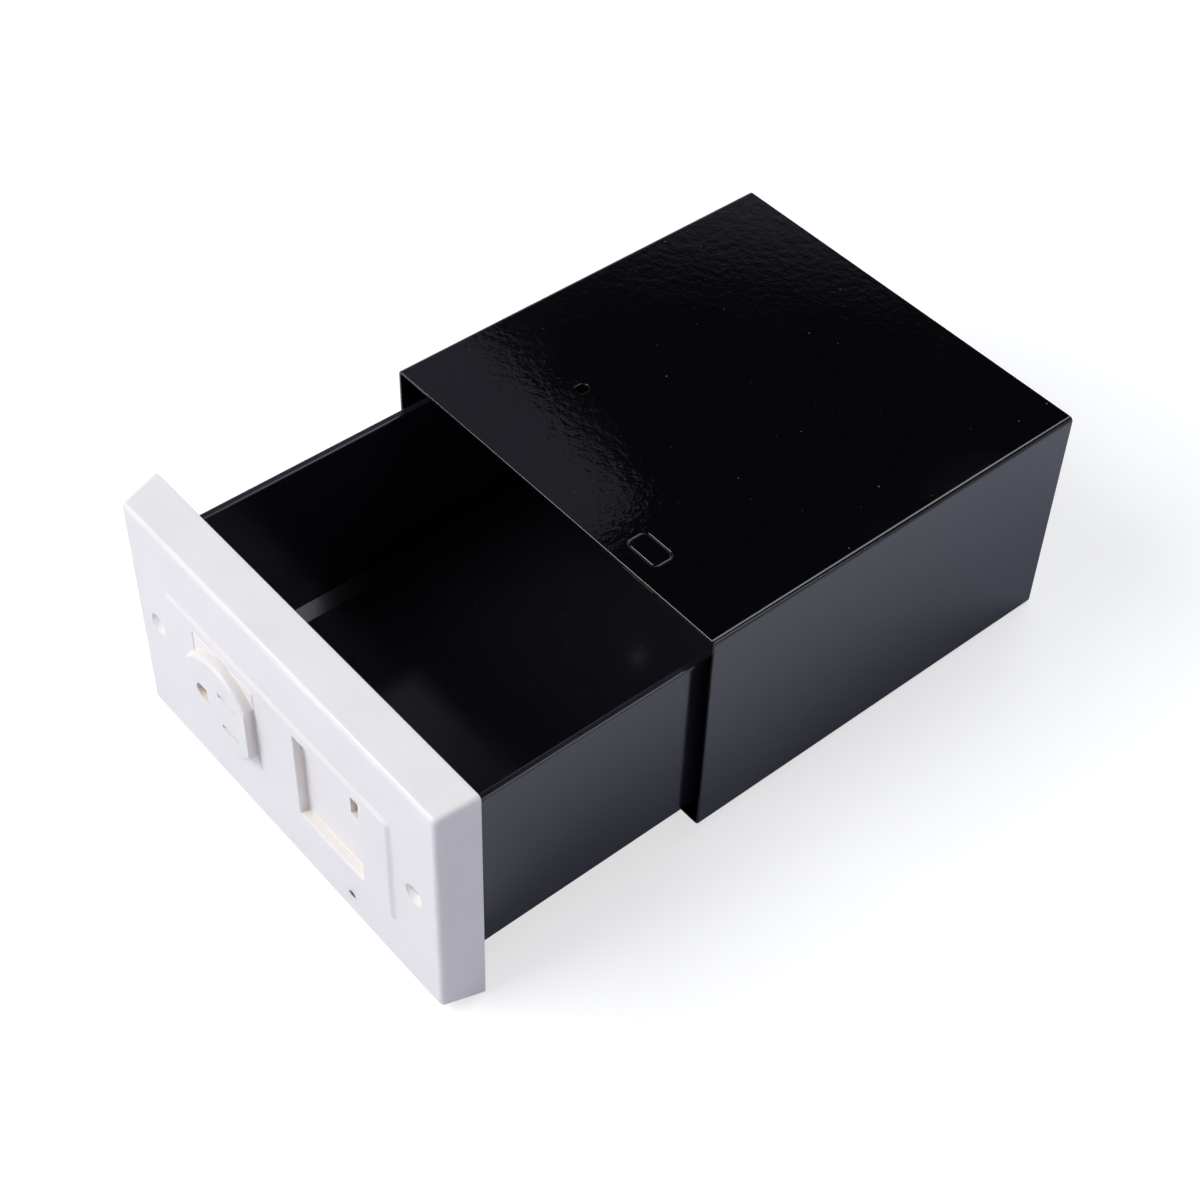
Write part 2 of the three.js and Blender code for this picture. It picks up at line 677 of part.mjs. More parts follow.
// A blind countersunk hole, as if for the screws of a real outlet plate.
function fixingHole(x) {
  const front = -PLATE_DEPTH;
  const [sink, bore] = [FIXING_SINK / 2, FIXING_BORE / 2];
  const profile = [
    [0, front - CUT_OVER],
    [sink, front - CUT_OVER],
    [sink, front],
    [bore, front + FIXING_SINK_DEPTH],
    [bore, front + FIXING_DEPTH],
    [0, front + FIXING_DEPTH],
  ];
  return turned(profile, HOLE_SIDES, x, PLATE_Z);
}

// A flared hole through to the hollow, recessed from behind so that its wall is thin.
function pinHole() {
  const front = -PLATE_DEPTH;
  const [flare, bore] = [PIN_FLARE / 2, PIN_HOLE / 2];
  const profile = [
    [0, front - CUT_OVER],
    [flare, front - CUT_OVER],
    [flare, front],
    [bore, front + PIN_FLARE_DEPTH],
    [bore, front + PIN_WALL],
    [PIN_RECESS / 2, front + PIN_WALL],
    [PIN_RECESS / 2, HOLLOW_FRONT + CUT_OVER],
    [0, HOLLOW_FRONT + CUT_OVER],
  ];
  return turned(profile, HOLE_SIDES, PIN_X, PLATE_Z - PLATE_HEIGHT / 2 + PIN_INSET);
}

// Outlet insert, in a frame whose x and z are 0 at the left pocket's centre

function outletInsert() {
  const back = POCKET_FLOOR - SEAT_GAP;
  const face = PANEL_FRONT - FACE_RISE;
  const width = POCKET_WIDTH - 2 * TURN_GAP;
  const height = POCKET_HEIGHT - 2 * TURN_GAP;
  const base = softBlock({
    width,
    height,
    corner: INSERT_CORNER,
    from: back,
    to: PANEL_FRONT,
    edge: INSERT_EDGE,
    place: facingFront(0, 0),
  });
  const disc = facingDisc(face).intersect(
    box(around(0, width - 2 * INSERT_EDGE), [face - CUT_OVER, back], around(0, height)),
  );
  const hollowFront = face + INSERT_FRONT;
  const hollowHalf = width / 2 - INSERT_WALL;
  const hollow = box(
    around(0, 2 * hollowHalf),
    [hollowFront, back + CUT_OVER],
    around(0, 2 * Math.sqrt((FACE_RADIUS - INSERT_WALL) ** 2 - hollowHalf ** 2)),
  );
  const bossEnd = [hollowFront - WELD_OVER, back];
  const boss = pin(INSERT_BOSS, bossEnd, HOLE_SIDES, GROUND_X, 0);
  return cut(
    cut(base.add(disc), hollow).add(boss),
    groundHole(face),
    screwHole(face, back),
    bladeSlot(BLADE_SPREAD, BLADE_LONG, face),
    bladeSlot(-BLADE_SPREAD, BLADE_SHORT, face),
  );
}

// The raised face is turned, with a soft shoulder around it.
function facingDisc(face) {
  const profile = [[0, face]];
  for (let step = 0; step <= 2 * EDGE_STEPS; step++) {
    const angle = (Math.PI / 2) * (step / (2 * EDGE_STEPS));
    const radius = FACE_RADIUS - FACE_SHOULDER * (1 - Math.sin(angle));
    profile.push([radius, face + FACE_SHOULDER * (1 - Math.cos(angle))]);
  }
  profile.push([FACE_RADIUS, PANEL_FRONT + WELD_OVER], [0, PANEL_FRONT + WELD_OVER]);
  return turned(profile, FACE_SIDES);
}

// Round towards the left and square towards the blade slots.
function groundHole(face) {
  const radius = GROUND_WIDTH / 2;
  const outline = new THREE.Shape();
  outline.absarc(GROUND_X, 0, radius, Math.PI / 2, (3 * Math.PI) / 2, false);
  outline.lineTo(GROUND_X + radius, -radius);
  outline.lineTo(GROUND_X + radius, radius);
  return alongY(outline, [face - CUT_OVER, face + GROUND_DEPTH]);
}

function bladeSlot(z, length, face) {
  return box(around(BLADE_X, length), [face - CUT_OVER, face + BLADE_DEPTH], around(z, BLADE_HEIGHT));
}

function screwHole(face, back) {
  const span = [face + GROUND_DEPTH - CUT_OVER, back + CUT_OVER];
  return pin(INSERT_SCREW_SHANK + 2 * TURN_GAP, span, HOLE_SIDES, GROUND_X, 0);
}

// Screws

// A pan head that faces the given way along Y, with a shank on its other side.
function panScrew({ shank, head, height, seat, end, faces }) {
  const [r, h] = [shank / 2, head / 2];
  const crown = seat + faces * height;
  const shoulder = seat + faces * height * (1 - RECESS_SHARE);
  const profile = [
    [0, end],
    [r, end],
    [r, seat],
    [h, seat],
    [h, shoulder],
    [h * RECESS_SHARE + h / 4, crown - faces * height * (1 - RECESS_SHARE) * RECESS_SHARE],
    [h * RECESS_SHARE, crown],
    [0, crown],
  ];
  return turned(faces > 0 ? profile : profile.reverse(), HOLE_SIDES);
}

function crossRecess(head, crown, faces) {
  const arm = head * RECESS_SHARE;
  const span = [crown - faces * RECESS_DEPTH, crown + faces * CUT_OVER].sort((a, b) => a - b);
  return box(around(0, arm), span, around(0, RECESS_WIDTH)).add(
    box(around(0, RECESS_WIDTH), span, around(0, arm)),
  );
}

function plateScrew() {
  const seat = TRAY_INNER_FRONT + SEAT_GAP;
  const screw = panScrew({
    shank: SCREW_SHANK,
    head: SCREW_HEAD,
    height: SCREW_HEAD_HEIGHT,
    seat,
    end: -SCREW_GRIP,
    faces: 1,
  });
  return cut(screw, crossRecess(SCREW_HEAD, seat + SCREW_HEAD_HEIGHT, 1));
}

function insertScrew() {
  const seat = PANEL_FRONT - FACE_RISE + GROUND_DEPTH - SEAT_GAP;
  const screw = panScrew({
    shank: INSERT_SCREW_SHANK,
    head: INSERT_SCREW_HEAD,
    height: INSERT_SCREW_HEAD_HEIGHT,
    seat,
    end: POCKET_BACK + INSERT_SOCKET_DEPTH,
    faces: -1,
  });
  const crown = seat - INSERT_SCREW_HEAD_HEIGHT;
  const slot = box(
    around(0, INSERT_SCREW_HEAD + CUT_OVER),
    [crown - CUT_OVER, crown + RECESS_DEPTH / 2],
    around(0, RECESS_WIDTH),
  );
  return cut(screw, slot);
}

// Lock, in a frame whose x and z are 0 on the lock's axis

function lockHousing() {
  const bore = PLUG_DIAMETER + 2 * TURN_GAP;
  const barrel = ring(bore, HOUSING_DIAMETER, [HOUSING_FRONT, HOUSING_BACK], BARREL_SIDES);
  const sink = pin(
    PLUG_HEAD + 2 * TURN_GAP,
    [HOUSING_FRONT - CUT_OVER, HOUSING_FRONT + PLUG_HEAD_THICKNESS + SEAT_GAP],
    BARREL_SIDES,
  );
  const flange = ring(
    bore + WELD_OVER,
    HOUSING_FLANGE,
    [-HOUSING_FLANGE_THICKNESS, 0],
    BARREL_SIDES,
  );
  const side = HOUSING_DIAMETER - HOUSING_FLATS;
  const shave = (x) =>
    box(around(x, side), [0, STOP_BACK + CUT_OVER], around(0, 2 * HOUSING_DIAMETER));
  const reach = (HOUSING_FLATS + side) / 2;
  const whole = join(cut(barrel, sink), flange, housingStop());
  return cut(whole, shave(-reach), shave(reach));
}

// The housing's stop stands on the right of the axis, between the two ends of the ear's path.
function housingStop() {
  const inner = STOP_DISC / 2 + TURN_GAP;
  const margin = THREE.MathUtils.radToDeg(TURN_GAP / inner);
  const half = (360 - LOCK_TURN - STOP_EAR_ANGLE) / 2 - margin;
  const arc = sector(inner, STOP_EAR / 2, -half, half);
  return alongY(arc, [HOUSING_BACK - WELD_OVER, STOP_BACK]);
}

function lockPlug() {
  const [r, h] = [PLUG_DIAMETER / 2, PLUG_HEAD / 2];
  const front = HOUSING_FRONT;
  const profile = [
    [0, front],
    [h, front],
    [h, front + PLUG_HEAD_THICKNESS],
    [r, front + PLUG_HEAD_THICKNESS],
    [r, HOUSING_BACK],
    [0, HOUSING_BACK],
  ];
  const tail = box(
    around(0, PLUG_SQUARE),
    [HOUSING_BACK - WELD_OVER, CAM_BACK - SEAT_GAP],
    around(0, PLUG_SQUARE),
  );
  const keyway = box(
    around(0, KEYWAY_WIDTH),
    [front - CUT_OVER, WAFER_END],
    around(0, KEYWAY_HEIGHT),
  );
  const slots = waferPlaces().map((y) =>
    box(
      around(0, WAFER_WIDTH + 2 * SEAT_GAP),
      [y - SEAT_GAP, y + WAFER_THICKNESS + SEAT_GAP],
      around(0, 2 * PLUG_DIAMETER),
    ),
  );
  const screwBore = pin(
    CAM_SCREW_SHANK + 2 * TURN_GAP,
    [WAFER_END + CAM_SCREW_END, CAM_BACK],
    HOLE_SIDES,
  );
  return cut(turned(profile, BARREL_SIDES).add(tail), keyway, ...slots, screwBore);
}

function waferPlaces() {
  return Array.from({ length: WAFER_COUNT }, (_, i) => WAFER_START + SEAT_GAP + i * WAFER_PITCH);
}

function wafer(y) {
  const plate = box(around(0, WAFER_WIDTH), [y, y + WAFER_THICKNESS], around(0, WAFER_HEIGHT));
  const window = box(
    around(0, WAFER_WINDOW_WIDTH),
    [y - CUT_OVER, y + WAFER_THICKNESS + CUT_OVER],
    around(0, WAFER_WINDOW_HEIGHT),
  );
  return cut(plate, window);
}

function spurWasher() {
  const front = TRAY_INNER_FRONT + SEAT_GAP;
  const outer = WASHER_DIAMETER / 2;
  const root = outer - WASHER_TOOTH;
  const profile = [[0, outer], [0.5, outer], [0.6, root], [0.9, root]];
  const points = [];
  for (let tooth = 0; tooth < WASHER_TEETH; tooth++) {
    for (const [share, radius] of profile) {
      const angle = (2 * Math.PI * (tooth + share)) / WASHER_TEETH;
      points.push(new THREE.Vector2(radius * Math.cos(angle), radius * Math.sin(angle)));
    }
  }
  const disc = alongY(new THREE.Shape(points), [front, front + WASHER_THICKNESS]);
  return cut(disc, pin(HOUSING_DIAMETER + 2 * TURN_GAP, wallSpanBehind(), BARREL_SIDES));
}

function wallSpanBehind() {
  return [TRAY_INNER_FRONT, HOUSING_BACK + CUT_OVER];
}

function lockNut() {
  const front = TRAY_INNER_FRONT + WASHER_THICKNESS + 2 * SEAT_GAP;
  const back = front + NUT_THICKNESS;
  const corner = NUT_FLATS / 2 / Math.cos(Math.PI / 6);
  const hexagon = Array.from({ length: 6 }, (_, i) => [
    corner * Math.cos((i * Math.PI) / 3),
    corner * Math.sin((i * Math.PI) / 3),
  ]);
  const crown = turned(
    [
      [0, front],
      [corner, front],
      [corner, back - NUT_CHAMFER],
      [corner - 2 * NUT_CHAMFER, back],
      [0, back],
    ],
    BARREL_SIDES,
  );
  const nut = alongY(polygon(hexagon), [front, back]).intersect(crown);
  return cut(nut, pin(HOUSING_DIAMETER + 2 * TURN_GAP, wallSpanBehind(), BARREL_SIDES));
}

function squareHole(y0, y1) {
  const side = around(0, PLUG_SQUARE + 2 * TURN_GAP);
  return box(side, [y0 - CUT_OVER, y1 + CUT_OVER], side);
}

// A disc with an ear that points the cam's way and turns between the ends of the housing's stop.
function stopWasher() {
  const down = -90;
  const ear = sector(
    STOP_DISC / 2 - WELD_OVER,
    STOP_EAR / 2,
    down - STOP_EAR_ANGLE / 2,
    down + STOP_EAR_ANGLE / 2,
  );
  const span = [STOP_FRONT, STOP_BACK];
  const disc = pin(STOP_DISC, span, BARREL_SIDES).add(alongY(ear, span));
  return cut(disc, squareHole(...span));
}

// The cam hangs down when the lock is open.
function lockCam() {
  const hub = CAM_HUB / 2;
  const tip = CAM_TIP_WIDTH / 2;
  const centre = { x: tip - CAM_TIP_CORNER, y: -CAM_LENGTH + CAM_TIP_CORNER };
  const outline = new THREE.Shape();
  outline.absarc(0, 0, hub, 0, Math.PI, false);
  outline.absarc(-centre.x, centre.y, CAM_TIP_CORNER, Math.PI, 1.5 * Math.PI, false);
  outline.absarc(centre.x, centre.y, CAM_TIP_CORNER, 1.5 * Math.PI, 2 * Math.PI, false);
  return cut(alongY(outline, [CAM_FRONT, CAM_BACK]), squareHole(CAM_FRONT, CAM_BACK));
}

function camScrew() {
  const seat = CAM_WASHER_BACK + SEAT_GAP;
  const screw = panScrew({
    shank: CAM_SCREW_SHANK,
    head: CAM_SCREW_HEAD,
    height: CAM_SCREW_HEAD_HEIGHT,
    seat,
    end: WAFER_END + CAM_SCREW_END + SEAT_GAP,
    faces: 1,
  });
  return cut(screw, crossRecess(CAM_SCREW_HEAD, seat + CAM_SCREW_HEAD_HEIGHT, 1));
}

// The assembly

function sleeveGroup() {
  const group = new THREE.Group();
  group.add(
    piece("outer_sleeve", outerSleeve(), BLACK_PAINT),
    piece("back_panel", backPanel(), BLACK_PAINT),
    piece("latch_keeper", latchKeeper(), BLACK_PAINT),
  );
  return group;
}

function lockGroup() {
  const group = new THREE.Group();
  group.position.set(LOCK_X, 0, LOCK_Z);
  group.add(
    piece("lock_housing", lockHousing(), ZINC),
    piece("lock_spur_washer", spurWasher(), BRIGHT_STEEL),
    piece("lock_nut", lockNut(), ZINC),
    barrelGroup(),
  );
  return group;
}

// What turns with the key.
function barrelGroup() {
  const group = new THREE.Group();
  group.add(
    piece("lock_plug", lockPlug(), BRASS),
    piece("stop_washer", stopWasher(), BRIGHT_STEEL),
    piece("lock_cam", lockCam(), BRIGHT_STEEL),
    piece("cam_screw", camScrew(), BRIGHT_STEEL),
  );
  const shank = CAM_SCREW_SHANK + 2 * TURN_GAP;
  const washer = ring(shank, CAM_WASHER, [CAM_WASHER_FRONT, CAM_WASHER_BACK], HOLE_SIDES);
  group.add(piece("cam_lock_washer", washer, BRIGHT_STEEL));
  waferPlaces().forEach((y, i) => group.add(piece(`wafer_${i + 1}`, wafer(y), BRASS)));
  return group;
}

function insertGroup() {
  const group = new THREE.Group();
  group.position.set(-POCKET_X, 0, PLATE_Z);
  const screw = piece("insert_screw", insertScrew(), BRASS);
  screw.position.x = GROUND_X;
  group.add(piece("outlet_insert", outletInsert(), WHITE_PLASTIC), screw);
  return group;
}

function drawerGroup() {
  const group = new THREE.Group();
  group.position.y = PLATE_BACK;
  group.add(
    piece("drawer_tray", drawerTray(), BLACK_PLASTIC),
    piece("faceplate", faceplate(), WHITE_PLASTIC),
    insertGroup(),
    lockGroup(),
  );
  SCREW_PLACES.forEach(([x, z], i) => {
    const screw = piece(`plate_screw_${i + 1}`, plateScrew(), BRIGHT_STEEL);
    screw.position.set(x, 0, z);
    group.add(screw);
  });
  return group;
}

const safe = new THREE.Group();
safe.name = "outlet_diversion_safe";
safe.add(sleeveGroup(), drawerGroup());

export default safe;
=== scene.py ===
"""Outlet diversion safe: a black steel sleeve with a drawer behind a white double outlet plate.

Each piece is drawn in millimetres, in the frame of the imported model, and becomes metres when it is
finished. The drawer opens to -Y, and +Z is up.
"""
import json
import math

import bmesh
import bpy
from mathutils import Matrix, Vector

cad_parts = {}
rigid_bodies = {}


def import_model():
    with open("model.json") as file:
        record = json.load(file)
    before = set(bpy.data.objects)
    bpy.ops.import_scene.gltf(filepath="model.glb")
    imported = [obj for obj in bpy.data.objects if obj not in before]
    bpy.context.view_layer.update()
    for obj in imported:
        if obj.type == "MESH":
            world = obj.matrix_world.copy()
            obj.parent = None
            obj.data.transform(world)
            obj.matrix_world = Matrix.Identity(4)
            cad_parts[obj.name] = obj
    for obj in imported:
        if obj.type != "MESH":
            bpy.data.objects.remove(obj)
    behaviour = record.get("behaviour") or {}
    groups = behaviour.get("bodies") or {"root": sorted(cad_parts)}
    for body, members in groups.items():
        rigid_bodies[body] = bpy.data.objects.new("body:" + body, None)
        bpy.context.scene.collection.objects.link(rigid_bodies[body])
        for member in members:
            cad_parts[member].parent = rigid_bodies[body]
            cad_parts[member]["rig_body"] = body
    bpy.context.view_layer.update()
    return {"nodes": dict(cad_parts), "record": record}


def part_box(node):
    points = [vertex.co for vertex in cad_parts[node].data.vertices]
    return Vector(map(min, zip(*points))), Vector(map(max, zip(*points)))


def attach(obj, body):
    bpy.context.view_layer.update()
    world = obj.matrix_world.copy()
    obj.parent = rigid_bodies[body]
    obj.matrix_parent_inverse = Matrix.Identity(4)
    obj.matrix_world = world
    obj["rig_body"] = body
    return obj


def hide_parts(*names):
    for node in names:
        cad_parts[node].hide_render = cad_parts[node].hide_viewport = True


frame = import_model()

SLOT_OF_NODE = {part["node"]: part["material_slot"] for part in frame["record"]["subparts"]}

MM = 0.001
X, Y, Z = 0, 1, 2
MERGE = 0.0001
ON_LEVEL = 0.02  # how near a corner lies to a level that it counts as being on
WELD = 0.5  # how far one shape runs into another where they are one moulding
PAST = 1.0  # how far a cutting shape runs past the face that it cuts
ROUND_STEPS = 64
HOLE_STEPS = 32
ALONG = 0.9  # the share of an edge's length that lies along an axis
FACING = 0.99  # the same for the way that a face looks
EDGE_BREAK = 0.2  # the rounding on the edges of stamped sheet
FINE_BREAK = 0.1


def span(node):
    """A node's lowest and highest corner, in millimetres."""
    return [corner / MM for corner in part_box(node)]


def axis_of(node):
    """The middle of a node, seen along Y, as an (x, z) pair."""
    low, high = span(node)
    return (low.x + high.x) / 2, (low.z + high.z) / 2


# Camera, standing where the photograph was taken
VIEW_AZIMUTH = 48.361
VIEW_ELEVATION = 46.982
VIEW_ROLL = 2.124
VIEW_DISTANCE = 812.006
VIEW_AIM = (-77.892, 20, -88.621)
FOCAL_PIXELS = 2206.64
IMAGE_PIXELS = 1200
SENSOR_WIDTH = 36

# Sleeve and its inner pieces
SHEET = 1
SLEEVE_BEND = 1.5
SLEEVE_RIM_ROUND = 0.32
SEAM_X = 40
SEAM_WIDTH = 0.6
SEAM_DEPTH = 0.3
PAN_BEND = 1.5
PAN_REAR_BEND = 1.4
WITNESS_INSET = 0.3  # from the keeper's outline to the middle of the mark's groove
WITNESS_RADIUS = 0.6
WITNESS_DEPTH = 0.14
WITNESS_CORNER = 2
KEEPER_SHEET = 1.2
KEEPER_BEND = 1.6
STOP_X = -29.3
TONGUE_SETBACK = 35
TONGUE_RADIUS = 1.5
TONGUE_LENGTH = 3.6
TONGUE_DROP = 3.2
TONGUE_ROOT = 0.1  # how far its flat root reaches into the bent part
LANCE_GAP = 0.3
LANCE_ROUND = 0.2

# Drawer tray
TRAY_WALL = 2.5
TRAY_FLOOR = 2.5
TRAY_CORNER = 1
TRAY_RIM_DROP = 8.2  # from the top of the stop finger down to the rim
RIM_ROUND = 0.8
FOOT_CHAMFER = 3.6
RUNNER_HEIGHT = 4.7
RUNNER_WIDTH = 4
RUNNER_INSET = 6
RUNNER_LENGTH = 121
RUNNER_SETBACK = 0.2
RUNNER_ROUND = 0.4
FINGER_WIDTH = 6
FINGER_OVERHANG = 1.25
FINGER_ROOT = 7.5  # from the rim down to the finger's toe
FINGER_ROUND = 0.5

# Faceplate
PLATE_DEPTH = 13
PLATE_DRAFT = 2.5
PLATE_CORNER = 1.6
PLATE_EDGE = 1.3
PLATE_RIM_ROUND = 0.3
PLATE_WALL = 2.5
HOLLOW_CORNER = 0.5
PANEL_WIDTH = 105.5
PANEL_HEIGHT = 45
PANEL_CORNER = 1.4
PANEL_SLOPE = 2.2
PANEL_EDGE = 0.7
PANEL_FILLET = 0.7
POCKET_X = 23.85
POCKET_WIDTH = 29.3
POCKET_HEIGHT = 33
POCKET_DEPTH = 2.9
POCKET_WALL = 2
POCKET_CORNER = 0.5
POCKET_FLOOR_ROUND = 0.4
POCKET_MOUTH = 0.35
CUP_CORNER = 0.8
KEY_SLOT_WIDTH = 3.7
KEY_SLOT_HEIGHT = 8
KEY_SLOT_CORNER = 0.2
FIXING_X = 60.3
FIXING_SINK = 6.5
FIXING_BORE = 3.6
FIXING_MOUTH = 0.4
FIXING_SINK_DEPTH = 1.6
FIXING_DEPTH = 4
FIXING_BOSS = 9
FIXING_BOSS_FLOOR = 2
PIN_X = 30.5
PIN_INSET = 10.7
PIN_HOLE = 2.8
PIN_FLARE = 3.6
PIN_FLARE_DEPTH = 0.3
PIN_WALL = 0.5
PIN_RECESS = 8
GUSSET_WIDTH = 1.5
GUSSET_PITCH = 28
GUSSETS_PER_LONG_SIDE = 5
GUSSET_REACH = 1.5
GUSSET_SETBACK = 0.4
SCREW_BOSS = 8
SCREW_HOLE = 3.6
SCREW_HOLE_DEPTH = 8.3

# Outlet insert
FACE_RADIUS = 17.4
FACE_SHOULDER = 1.2
INSERT_CORNER = 0.8
INSERT_EDGE = 0.4
INSERT_WALL = 2.2
INSERT_FRONT = 3.2
INSERT_HOLLOW_CORNER = 1
FLAT_ROUND = 0.3
GROUND_X = -7.5
GROUND_WIDTH = 5.4
GROUND_DEPTH = 3.1
BLADE_X = 5.7
BLADE_SPREAD = 6.35
BLADE_HEIGHT = 2
BLADE_LONG = 9
BLADE_SHORT = 8.2
BLADE_DEPTH = 2
BLADE_CORNER = 0.15
SLOT_MOUTH = 0.65
INSERT_BOSS = 9.6
INSERT_SCREW_HOLE = 3
INSERT_SOCKET = 6.4
INSERT_SOCKET_DEPTH = 3

# Lock
HOUSING_DIAMETER = 17
HOUSING_FLATS = 15
HOUSING_BORE = 12.1
HOUSING_SINK = 14
HOUSING_SINK_DEPTH = 1.5
FLANGE_THICKNESS = 1.5
HOUSING_FLANGE = 20
HOUSING_TAIL = 1.3  # how far the stop stands past the barrel's end
HOUSING_CLEARANCE = 0.3
HOUSING_HOLE = HOUSING_DIAMETER + 2 * HOUSING_CLEARANCE
HOUSING_CHAMFER = 0.3
HOUSING_END = 0.5
THREAD_PITCH = 1
THREAD_HEIGHT = 0.35
PLUG_HEAD = 13.4
PLUG_HEAD_THICKNESS = 1.2
PLUG_DIAMETER = 11.5
PLUG_ROUND = 0.3
PLUG_SQUARE = 6
PLUG_WEB = 1  # between the last wafer's slot and the cam screw's bore
KEYWAY_WIDTH = 2.4
KEYWAY_HEIGHT = 8.4
KEYWAY_CORNER = 0.2
WAFER_COUNT = 5
WAFER_CORNER = 0.5
WAFER_BREAK = 0.08
WINDOW_WIDTH = 3
WINDOW_HEIGHT = 6.4
WINDOW_CORNER = 0.3
WAFER_SIDE_GAP = 0.3
WASHER_TEETH = 12
WASHER_TOOTH = 1.6
WASHER_NOTCH = 1.8
NUT_CHAMFER = 0.6
STOP_DISC = 13
STOP_EAR_ANGLE = 40
STOP_PLAY_ANGLE = 2.5
STOP_INSET = 0.2  # from the barrel's outside in to the stop's
LOCK_TURN = 180
CAM_HUB = 16
CAM_TIP_WIDTH = 10
CAM_TIP_HEIGHT = 6
CAM_TIP_CORNER = 2
CAM_SCREW_BORE = 4
SQUARE_HOLE = 6.6
SQUARE_CORNER = 0.3

# Screws
SCREW_DOME = ((0, 0), (0.45, 0), (0.75, 0.12), (0.94, 0.38), (1, 0.62))  # shares of radius and height
SCREW_EDGE = 0.1
SCREW_NECK = 0.9
SCREW_TIP = 0.5
SCREW_STEPS = 40
THREAD_STEP = 0.8
THREAD_ROOT = 0.78
RECESS_WIDTH = 0.9
RECESS_SHARE = 0.55
RECESS_DEPTH = 0.9

# Finishes, with densities in cells to a millimetre
FINE_RIPPLES = 3.1
DUST_RARITY = 4.0
LINE_STRETCH = 0.25
STAIN_DENSITY = 0.35
PATCH_DENSITY = 0.5
PAINT_WEAR = 0.25
METAL_WEAR = 0.35
MARK_ROUGHNESS = 0.6

# Studio
FLOOR_SIZE = 3.0
FLOOR_GAP = 0.05
FLOOR_LIFT = 0.66
BACKDROP_TOP = 0.55
CEILING_FOOT = 0.625
BACKDROP_GLOW = 0.48
CEILING_GLOW = 0.008
LIGHT_AIM = Vector((0, -50, 40))

# Places
SLEEVE_LOW, SLEEVE_HIGH = span("outer_sleeve")
TRAY_LOW, TRAY_HIGH = span("drawer_tray")
PLATE_LOW, PLATE_HIGH = span("faceplate")
PLATE_RIM = PLATE_HIGH.y
PLATE_FACE = PLATE_RIM - PLATE_DEPTH
PANEL_FACE = PLATE_LOW.y
PLATE_Z = (PLATE_LOW.z + PLATE_HIGH.z) / 2
HOLLOW_FACE = PLATE_FACE + PLATE_WALL
POCKET_FLOOR = PANEL_FACE + POCKET_DEPTH
POCKET_BACK = POCKET_FLOOR + POCKET_WALL
TONGUE_PLACE = Vector((STOP_X, SLEEVE_LOW.y + TONGUE_SETBACK, SLEEVE_HIGH.z))
SOCKET_X = GROUND_X - POCKET_X
SOCKET_BACK = POCKET_BACK + INSERT_SOCKET_DEPTH
LOCK_X, LOCK_Z = axis_of("lock_plug")
PLATE_SCREWS = [f"plate_screw_{number}" for number in range(1, 5)]
SCREW_PLACES = [axis_of(node) for node in PLATE_SCREWS]


# Shapes drawn with mesh operators

def move(bm, way):
    bmesh.ops.translate(bm, vec=way, verts=bm.verts)


def rotate(bm, angle, axis, centre=(0, 0, 0)):
    matrix = Matrix.Rotation(angle, 3, axis)
    bmesh.ops.rotate(bm, cent=centre, matrix=matrix, verts=bm.verts)


def slab(low, high, corner=0, along=Y, steps=4):
    """A box between two corners, with its edges along one axis rounded."""
    bm = bmesh.new()
    low, high = Vector(low), Vector(high)
    bmesh.ops.create_cube(bm, size=1)
    bmesh.ops.scale(bm, vec=high - low, verts=bm.verts)
    move(bm, (low + high) / 2)
    if corner:
        round_edges(bm, edges_along(bm, along), corner, steps)
    return bm


def block(width, height, y0, y1, x, z, corner=0, steps=4):
    """A box along Y round a middle line, with its long edges rounded."""
    low = (x - width / 2, y0, z - height / 2)
    high = (x + width / 2, y1, z + height / 2)
    return slab(low, high, corner, Y, steps)


def edges_along(bm, axis):
    """The edges that run along an axis, or lean from it a little."""
    runs = {edge: (edge.verts[1].co - edge.verts[0].co).normalized() for edge in bm.edges}
    return [edge for edge, run in runs.items() if abs(run[axis]) > ALONG]


def edges_on(bm, axis, level):
    """The edges that lie at one level of an axis."""
    return [
        edge for edge in bm.edges
        if all(abs(vert.co[axis] - level) < ON_LEVEL for vert in edge.verts)
    ]


def faces_towards(bm, axis, way):
    """The faces that look along an axis, forwards or backwards."""
    bm.normal_update()
    return [face for face in bm.faces if face.normal[axis] * way > FACING]


def round_edges(bm, edges, radius, steps=3):
    bmesh.ops.bevel(
        bm, geom=edges, offset=radius, segments=steps, profile=0.5, affect="EDGES",
        clamp_overlap=True, material=-1,
    )


def soften(bm, radius, inside=lambda p: True, steps=3, least=50):
    """Rounds the edges that turn by more than the least angle, if both ends are where the test says."""
    bm.normal_update()
    limit = math.radians(least)
    sharp = [
        edge for edge in bm.edges
        if edge.is_manifold and edge.calc_face_angle() > limit
        and all(inside(vert.co) for vert in edge.verts)
    ]
    round_edges(bm, sharp, radius, steps)


def plain(bm, flat=0.5):
    """The same shape, with each flat side one face again."""
    bmesh.ops.remove_doubles(bm, verts=bm.verts, dist=MERGE)
    bmesh.ops.dissolve_limit(bm, angle_limit=math.radians(flat), verts=bm.verts, edges=bm.edges)
    return bm


def arc(centre, radius, start, end, steps):
    """Points of a round stretch between two angles in degrees, as (radius, y) pairs."""
    angles = [math.radians(start + (end - start) * i / steps) for i in range(steps + 1)]
    return [(centre[0] + radius * math.cos(a), centre[1] + radius * math.sin(a)) for a in angles]


